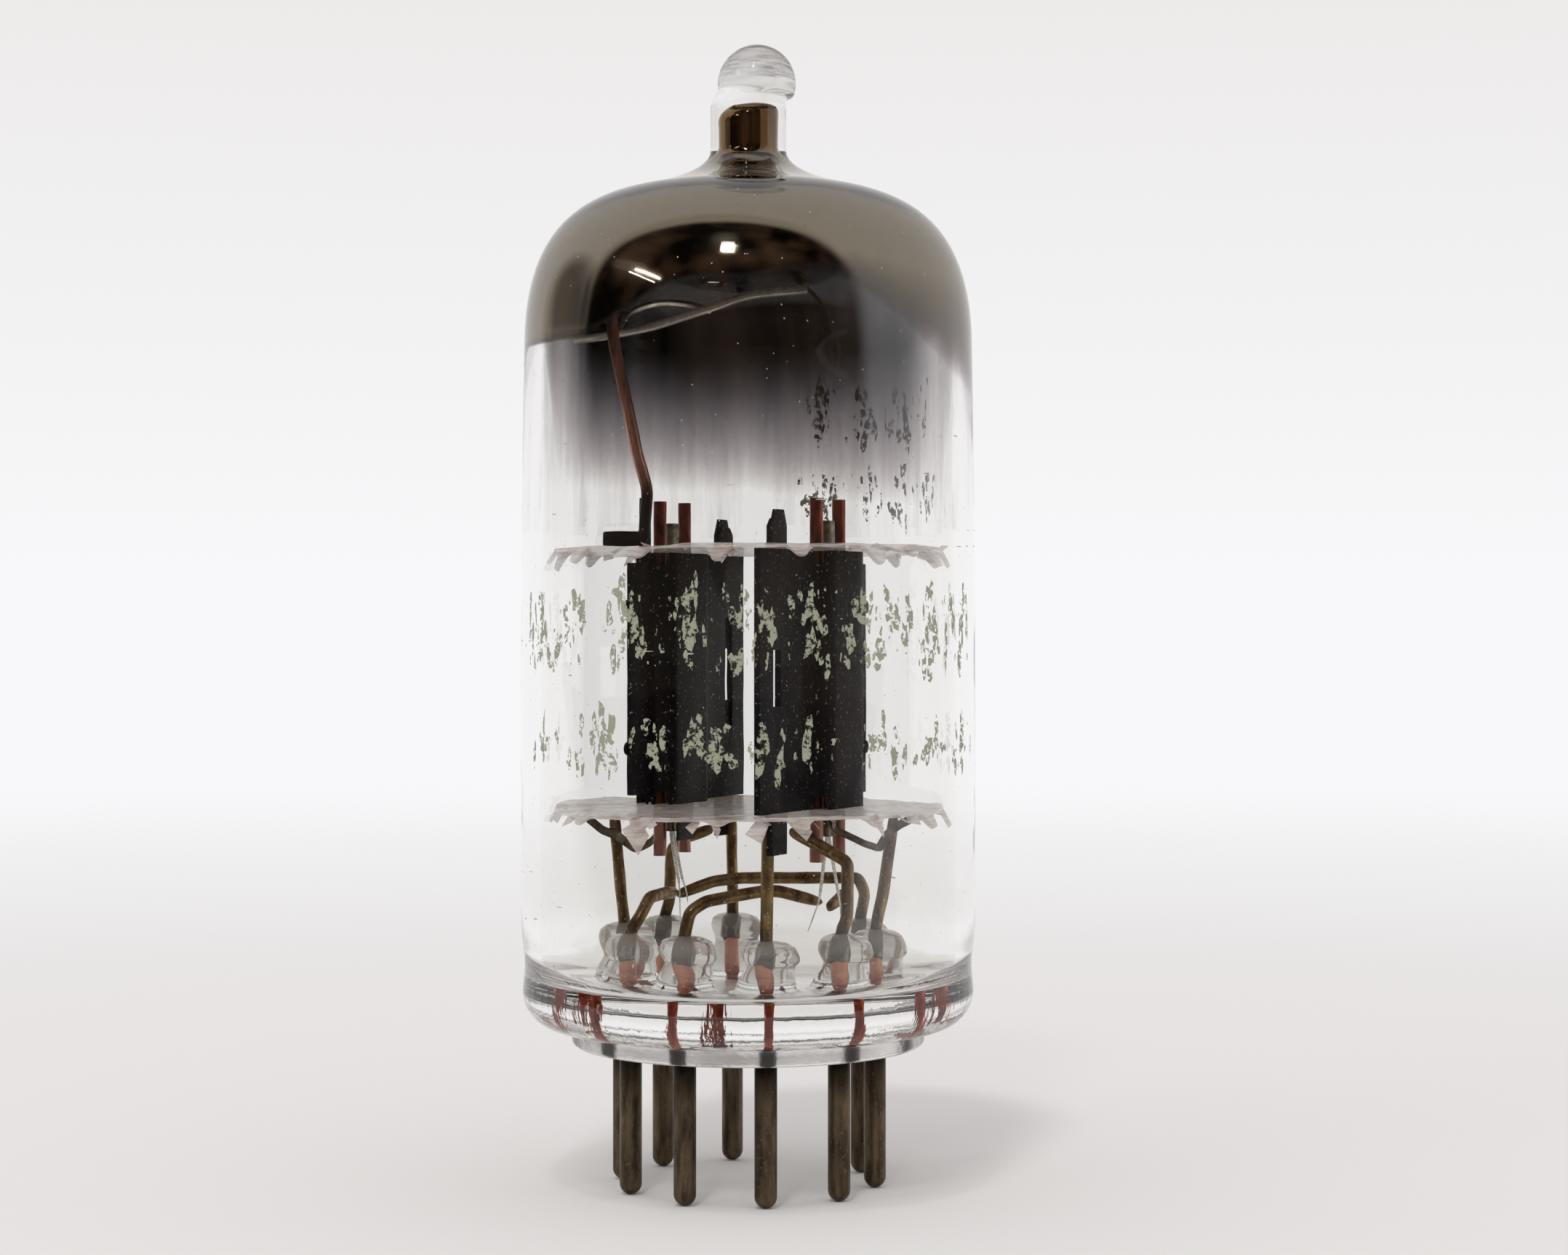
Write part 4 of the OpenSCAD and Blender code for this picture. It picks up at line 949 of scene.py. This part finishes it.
# The getter strip's near-white colour is a painted highlight: it stands for the bright light that the strip
# mirrors, which hardly reaches it under the dome.
finish_of("getter_strip_painted_bright", [sheets["getter_channel"]], dull_metal("#fff6e8", "#cdc3b3", 0.36, 0.6))
finish_of("copper_clad_post", [wires["getter_rod"]],
          dull_metal("#c99684", "#7b4e40", 0.36, 0.7, drawn=4, burnt=("#2b2725", 33.6, 31.9)))
finish_of("nickel_ribbon", [nodes[f"cathode_ribbon_{u}"] for u in (1, 2)],
          dull_metal("#8c8272", "#4c443a", 0.4, 0.5))
finish_of("nickel_sleeve", [nodes[f"cathode_{u}"] for u in (1, 2)],
          dull_metal("#8d8474", "#4b4439", 0.45, 0.5))


# %% [markdown]
# ### Carbonised plates, alumina and mica
# The plates were blackened with carbon to shed heat: a satin black with pale specks. A faint blue-brown
# sheen is painted into its colour in upright streaks. The heaters are coated with white alumina. Mica is
# clear in the leaf and milky where its leaves part.


# %% Carbonised plate
def carbonised(tree, place):
    """Satin black. A painted sheen lies in upright streaks about 1 mm wide and 10 mm long, as a cast that
    goes from blue to brown in patches of 4 mm. Pale specks of 0.15 mm lie on it and make the bump."""
    band = add(tree, "Mapping", {"Vector": place, "Scale": (1.0, 1.0, 0.1)})
    streak = add(tree, "TexNoise", {"Vector": band, "Scale": 900.0, "Detail": 4.0})
    patch = add(tree, "TexNoise", {"Vector": place, "Scale": 260.0, "Detail": 3.0})
    speck = add(tree, "TexNoise", {"Vector": place, "Scale": 7000.0, "Detail": 2.0})
    tint = add(tree, "MapRange", {"Value": patch, "From Min": 0.4, "From Max": 0.62})
    cast = add(tree, "Mix", {0: tint, 6: "#1a1c24", 7: "#2a1f1d"}, data_type="RGBA")
    # The sheen is painted: lighter upright streaks of the cast in the base colour.
    painted_sheen = add(tree, "MapRange", {"Value": streak, "From Min": 0.38, "From Max": 0.68})
    base = add(tree, "Mix", {0: painted_sheen, 6: "#0b0a0c", 7: cast}, data_type="RGBA")
    pale = add(tree, "MapRange", {"Value": speck, "From Min": 0.66, "From Max": 0.72})
    colour = add(tree, "Mix", {0: pale, 6: base, 7: "#8a857e"}, data_type="RGBA")
    rough = add(tree, "MapRange", {
        "Value": streak, "From Min": 0.3, "From Max": 0.7, "To Min": 0.42, "To Max": 0.58})
    bump = add(tree, "Bump", {"Height": speck, "Strength": 0.25, "Distance": 0.01 * MM})
    return add(tree, "BsdfPrincipled", {
        "Base Color": colour, "Specular IOR Level": 0.1, "Roughness": rough, "Normal": bump})


finish_of("carbonised_nickel", [sheets[f"anode_{u}_{h}"] for u in (1, 2) for h in ("outer", "inner")],
          carbonised)


# %% Alumina and mica
def alumina(tree, place):
    """White grit with grains of about 0.1 mm, in the colour and in the bump."""
    grit = add(tree, "TexNoise", {"Vector": place, "Scale": 9000.0, "Detail": 3.0})
    share = add(tree, "MapRange", {"Value": grit, "From Min": 0.35, "From Max": 0.55})
    colour = add(tree, "Mix", {0: share, 6: "#b9b2a4", 7: "#efece4"}, data_type="RGBA")
    bump = add(tree, "Bump", {"Height": grit, "Strength": 0.5, "Distance": 0.02 * MM})
    return add(tree, "BsdfPrincipled", {"Base Color": colour, "Roughness": 0.8, "Normal": bump})


finish_of("white_alumina", [wires["heater_1"], wires["heater_2"]], alumina)


def split_mica(clear, milky):
    """Mica that stops a share of the light between the two given ones, more where its leaves part."""
    def surface(tree, place):
        leaf = add(tree, "Mapping", {"Vector": place, "Scale": (0.5, 0.5, 5.0)})
        streak = add(tree, "TexNoise", {"Vector": leaf, "Scale": 2200.0, "Detail": 5.0})
        share = add(tree, "MapRange", {"Value": streak, "From Min": 0.35, "From Max": 0.65})
        colour = add(tree, "Mix", {0: share, 6: "#d6c6bf", 7: "#f0e7e2"}, data_type="RGBA")
        cloudy = add(tree, "MapRange", {
            "Value": streak, "From Min": 0.3, "From Max": 0.7, "To Min": clear, "To Max": milky})
        bump = add(tree, "Bump", {"Height": streak, "Strength": 0.5, "Distance": 0.04 * MM})
        return add(tree, "BsdfPrincipled", {
            "Base Color": colour, "Roughness": 0.22, "IOR": 1.56, "Alpha": cloudy, "Normal": bump})
    return surface


finish_of("clear_split_mica", micas[0::2], split_mica(0.35, 0.75))
finish_of("milky_split_mica", micas[1::2], split_mica(0.55, 0.88))


# %% Ink and dust
def worn_ink(tree, place):
    """Grey-green ink, worn through in pores of about 0.3 mm."""
    pores = add(tree, "TexNoise", {"Vector": place, "Scale": 3500.0, "Detail": 6.0, "Roughness": 0.7})
    kept = add(tree, "MapRange", {"Value": pores, "From Min": 0.46, "From Max": 0.5})
    colour = add(tree, "Mix", {0: pores, 6: "#8b8c76", 7: "#a6a793"}, data_type="RGBA")
    return add(tree, "BsdfPrincipled", {"Base Color": colour, "Roughness": 0.7, "Alpha": kept})


def dry_dust(tree, place):
    """Pale grey grains and fibres that let a third of the light through."""
    grit = add(tree, "TexNoise", {"Vector": place, "Scale": 9000.0, "Detail": 2.0})
    colour = add(tree, "Mix", {0: grit, 6: "#aaa59c", 7: "#dedbd5"}, data_type="RGBA")
    return add(tree, "BsdfPrincipled", {"Base Color": colour, "Roughness": 0.9, "Alpha": 0.7})


finish_of("worn_ink", [ink], worn_ink)
finish_of("dry_dust", [dust], dry_dust)
print("materials:", len(bpy.data.materials))

# %% [markdown]
# ## The table, the light and the camera
# The tube stands on a pale table under a soft lamp, high up and a little in front, with a weaker one lower
# in front and a long narrow light on the left. The floor fades into the backdrop. Behind the camera lies a
# dark room that only reflections see, and that is what gives the mirror in the dome its depth.

# %% Floor and backdrop
SIDES = 64
around = np.linspace(0, 2 * math.pi, SIDES, endpoint=False)
disc = [polar(r, around, 0) for r in (1, 60, 300, 3000)]
floor_mesh = bpy.data.meshes.new("floor")
floor_mesh.from_pydata((np.concatenate(disc) * MM).tolist(), [],
                       ring_faces(len(disc), SIDES, flip=True) + [list(range(SIDES))])
floor = new_object("floor", floor_mesh)


def towards(side, front, up):
    """What lies so far to the right in the camera's view, towards the camera, and up, in the frame's axes."""
    c, s = math.cos(RIGHT), math.sin(RIGHT)
    return np.array([side * c + front * s, side * s - front * c, up])


ROOM = towards(-0.3, 1.0, -0.1).tolist()


def table_top(tree, place):
    """A matt pale table near the tube. By a smooth step of the distance in metres it turns into the backdrop,
    which is as light as its colour says. Of its part in front, reflections see a dark floor."""
    reach = add(tree, "VectorMath", {0: place}, operation="LENGTH")
    near = add(tree, "MapRange", {"Value": reach, "From Min": 0.035, "From Max": 0.16},
               interpolation_type="SMOOTHSTEP")
    far = add(tree, "MapRange", {"Value": reach, "From Min": 0.02, "From Max": 0.36},
              interpolation_type="SMOOTHSTEP")
    seen = add(tree, "Mix", {0: far, 6: "#e7e5e5", 7: "#f8f7f9"}, data_type="RGBA")
    lit = add(tree, "BsdfDiffuse", {"Color": "#eeebe9"})
    front = add(tree, "VectorMath", {0: place, 1: ROOM}, operation="DOT_PRODUCT")
    in_front = add(tree, "MapRange", {"Value": front, "From Min": 0.04, "From Max": 0.09})
    mirror = add(tree, "LightPath").outputs["Is Glossy Ray"]
    dark = add(tree, "Math", {0: in_front, 1: mirror}, operation="MULTIPLY")
    seen = add(tree, "Mix", {0: dark, 6: seen, 7: "#221c19"}, data_type="RGBA")
    near = add(tree, "Math", {0: near, 1: dark}, operation="MAXIMUM")
    backdrop = add(tree, "Emission", {"Color": seen, "Strength": 1.0})
    return add(tree, "MixShader", {0: near, 1: lit, 2: backdrop})


finish_of("pale_table_top", [floor], table_top)

# %% World
# The room is dark in nearly all of the half round ROOM, behind the camera, and in a small patch on the
# left. Only rays that were reflected once or more see it. Matt surfaces get an even pale light.
world = bpy.data.worlds.new("studio")
bpy.context.scene.world = world
world.use_nodes = True
tree = world.node_tree
tree.nodes.clear()
direction = add(tree, "TexCoord").outputs["Generated"]
rise = add(tree, "SeparateXYZ", {"Vector": direction}).outputs["Z"]
upper = add(tree, "MapRange", {"Value": rise, "From Min": 0.02, "From Max": 0.24})
seen = add(tree, "Mix", {0: upper, 6: "#f8f7f9", 7: "#ebe9e8"}, data_type="RGBA")
facing = add(tree, "VectorMath", {0: direction, 1: ROOM}, operation="DOT_PRODUCT")
room_share = add(tree, "MapRange", {"Value": facing, "From Min": 0.12, "From Max": 0.24},
                 interpolation_type="SMOOTHSTEP")
clutter = add(tree, "TexNoise", {"Vector": direction, "Scale": 3.0, "Detail": 3.0})
clutter = add(tree, "MapRange", {"Value": clutter, "From Min": 0.42, "From Max": 0.66})
room = add(tree, "Mix", {0: clutter, 6: "#100c0a", 7: "#6b5648"}, data_type="RGBA")
low = add(tree, "MapRange", {"Value": rise, "From Min": 0.12, "From Max": -0.02})
room = add(tree, "Mix", {0: low, 6: room, 7: "#5a5248"}, data_type="RGBA")
LEFT_PATCH = towards(-0.93, -0.33, 0.15).tolist()
patch = add(tree, "VectorMath", {0: direction, 1: LEFT_PATCH}, operation="DOT_PRODUCT")
patch = add(tree, "MapRange", {"Value": patch, "From Min": 0.93, "From Max": 0.97, "To Max": 0.8})
patch = add(tree, "Math", {0: patch, 1: low}, operation="SUBTRACT", use_clamp=True)
room_share = add(tree, "Math", {0: room_share, 1: patch}, operation="MAXIMUM")
ray = add(tree, "LightPath").outputs
reflected = add(tree, "Math", {0: ray["Glossy Depth"], 1: 1.0}, operation="MINIMUM")
room_share = add(tree, "Math", {0: room_share, 1: reflected}, operation="MULTIPLY")
mirrored = add(tree, "Mix", {0: room_share, 6: seen, 7: room}, data_type="RGBA")
looked = add(tree, "Math", {0: ray["Is Glossy Ray"], 1: ray["Is Transmission Ray"]}, operation="MAXIMUM")
ambient = add(tree, "Mix", {0: looked, 6: "#e0dfe0", 7: mirrored}, data_type="RGBA")
colour = add(tree, "Mix", {0: ray["Is Camera Ray"], 6: ambient, 7: seen}, data_type="RGBA")
add(tree, "OutputWorld", {"Surface": add(tree, "Background", {"Color": colour})})
print("world:", len(tree.nodes), "nodes")


# %% Lamps
LAMP_AIM_Z = 0.02


def soft_lamp(name, direction, distance, size, power, roll=0.0):
    """An area lamp along a direction, as towards() takes it, aimed at the height LAMP_AIM_Z on the tube's
    axis and rolled by degrees. Its distance and its size are in metres."""
    spot = towards(*direction) * distance
    data = bpy.data.lights.new(name, "AREA")
    data.shape, data.size, data.size_y, data.energy = "RECTANGLE", size[0], size[1], power
    lamp = new_object(name, data)
    lamp.location = spot + np.array([0, 0, LAMP_AIM_Z])
    aim = Vector(-spot).to_track_quat("-Z", "Y") @ Quaternion((0, 0, 1), math.radians(roll))
    lamp.rotation_euler = aim.to_euler()
    print(name, "at", [round(v, 3) for v in lamp.location])
    return lamp


# Nothing mirrors the overhead lamp, because the photo shows no square glint of it on the glass.
overhead = soft_lamp("overhead_lamp", (-0.12, 0.38, 0.92), 0.8, (0.07, 0.07), 1.15)
overhead.visible_glossy = overhead.visible_transmission = False
soft_lamp("window_lamp", (-0.15, 0.70, 0.70), 0.8, (0.08, 0.1), 0.4)
soft_lamp("strip_lamp", (-0.76, 0.48, 0.43), 0.6, (0.17, 0.007), 0.12, roll=-14)

# %% [markdown]
# Light that runs round inside a glass rim bounces many times before it gets out. With too few bounces the
# rim turns black, so the limits are raised.

# %% Bounces
paths = bpy.context.scene.cycles
paths.max_bounces = paths.transmission_bounces = paths.transparent_max_bounces = 24
paths.glossy_bounces = 16
print("bounces:", paths.max_bounces)

# %% Camera
# Its distance, height and turn were worked out from where the photo shows the nine pins.
camera_data = bpy.data.cameras.new("camera")
camera_data.lens, camera_data.sensor_width, camera_data.clip_start = 66.06, 36, 0.01
camera = new_object("camera", camera_data)
camera.location = towards(0.00166, 0.134, 0.02587)
camera.rotation_euler = (math.radians(90), 0, RIGHT)
bpy.context.scene.camera = camera
bpy.context.scene.view_settings.view_transform = "Standard"
print("camera", [round(v, 4) for v in camera.location])
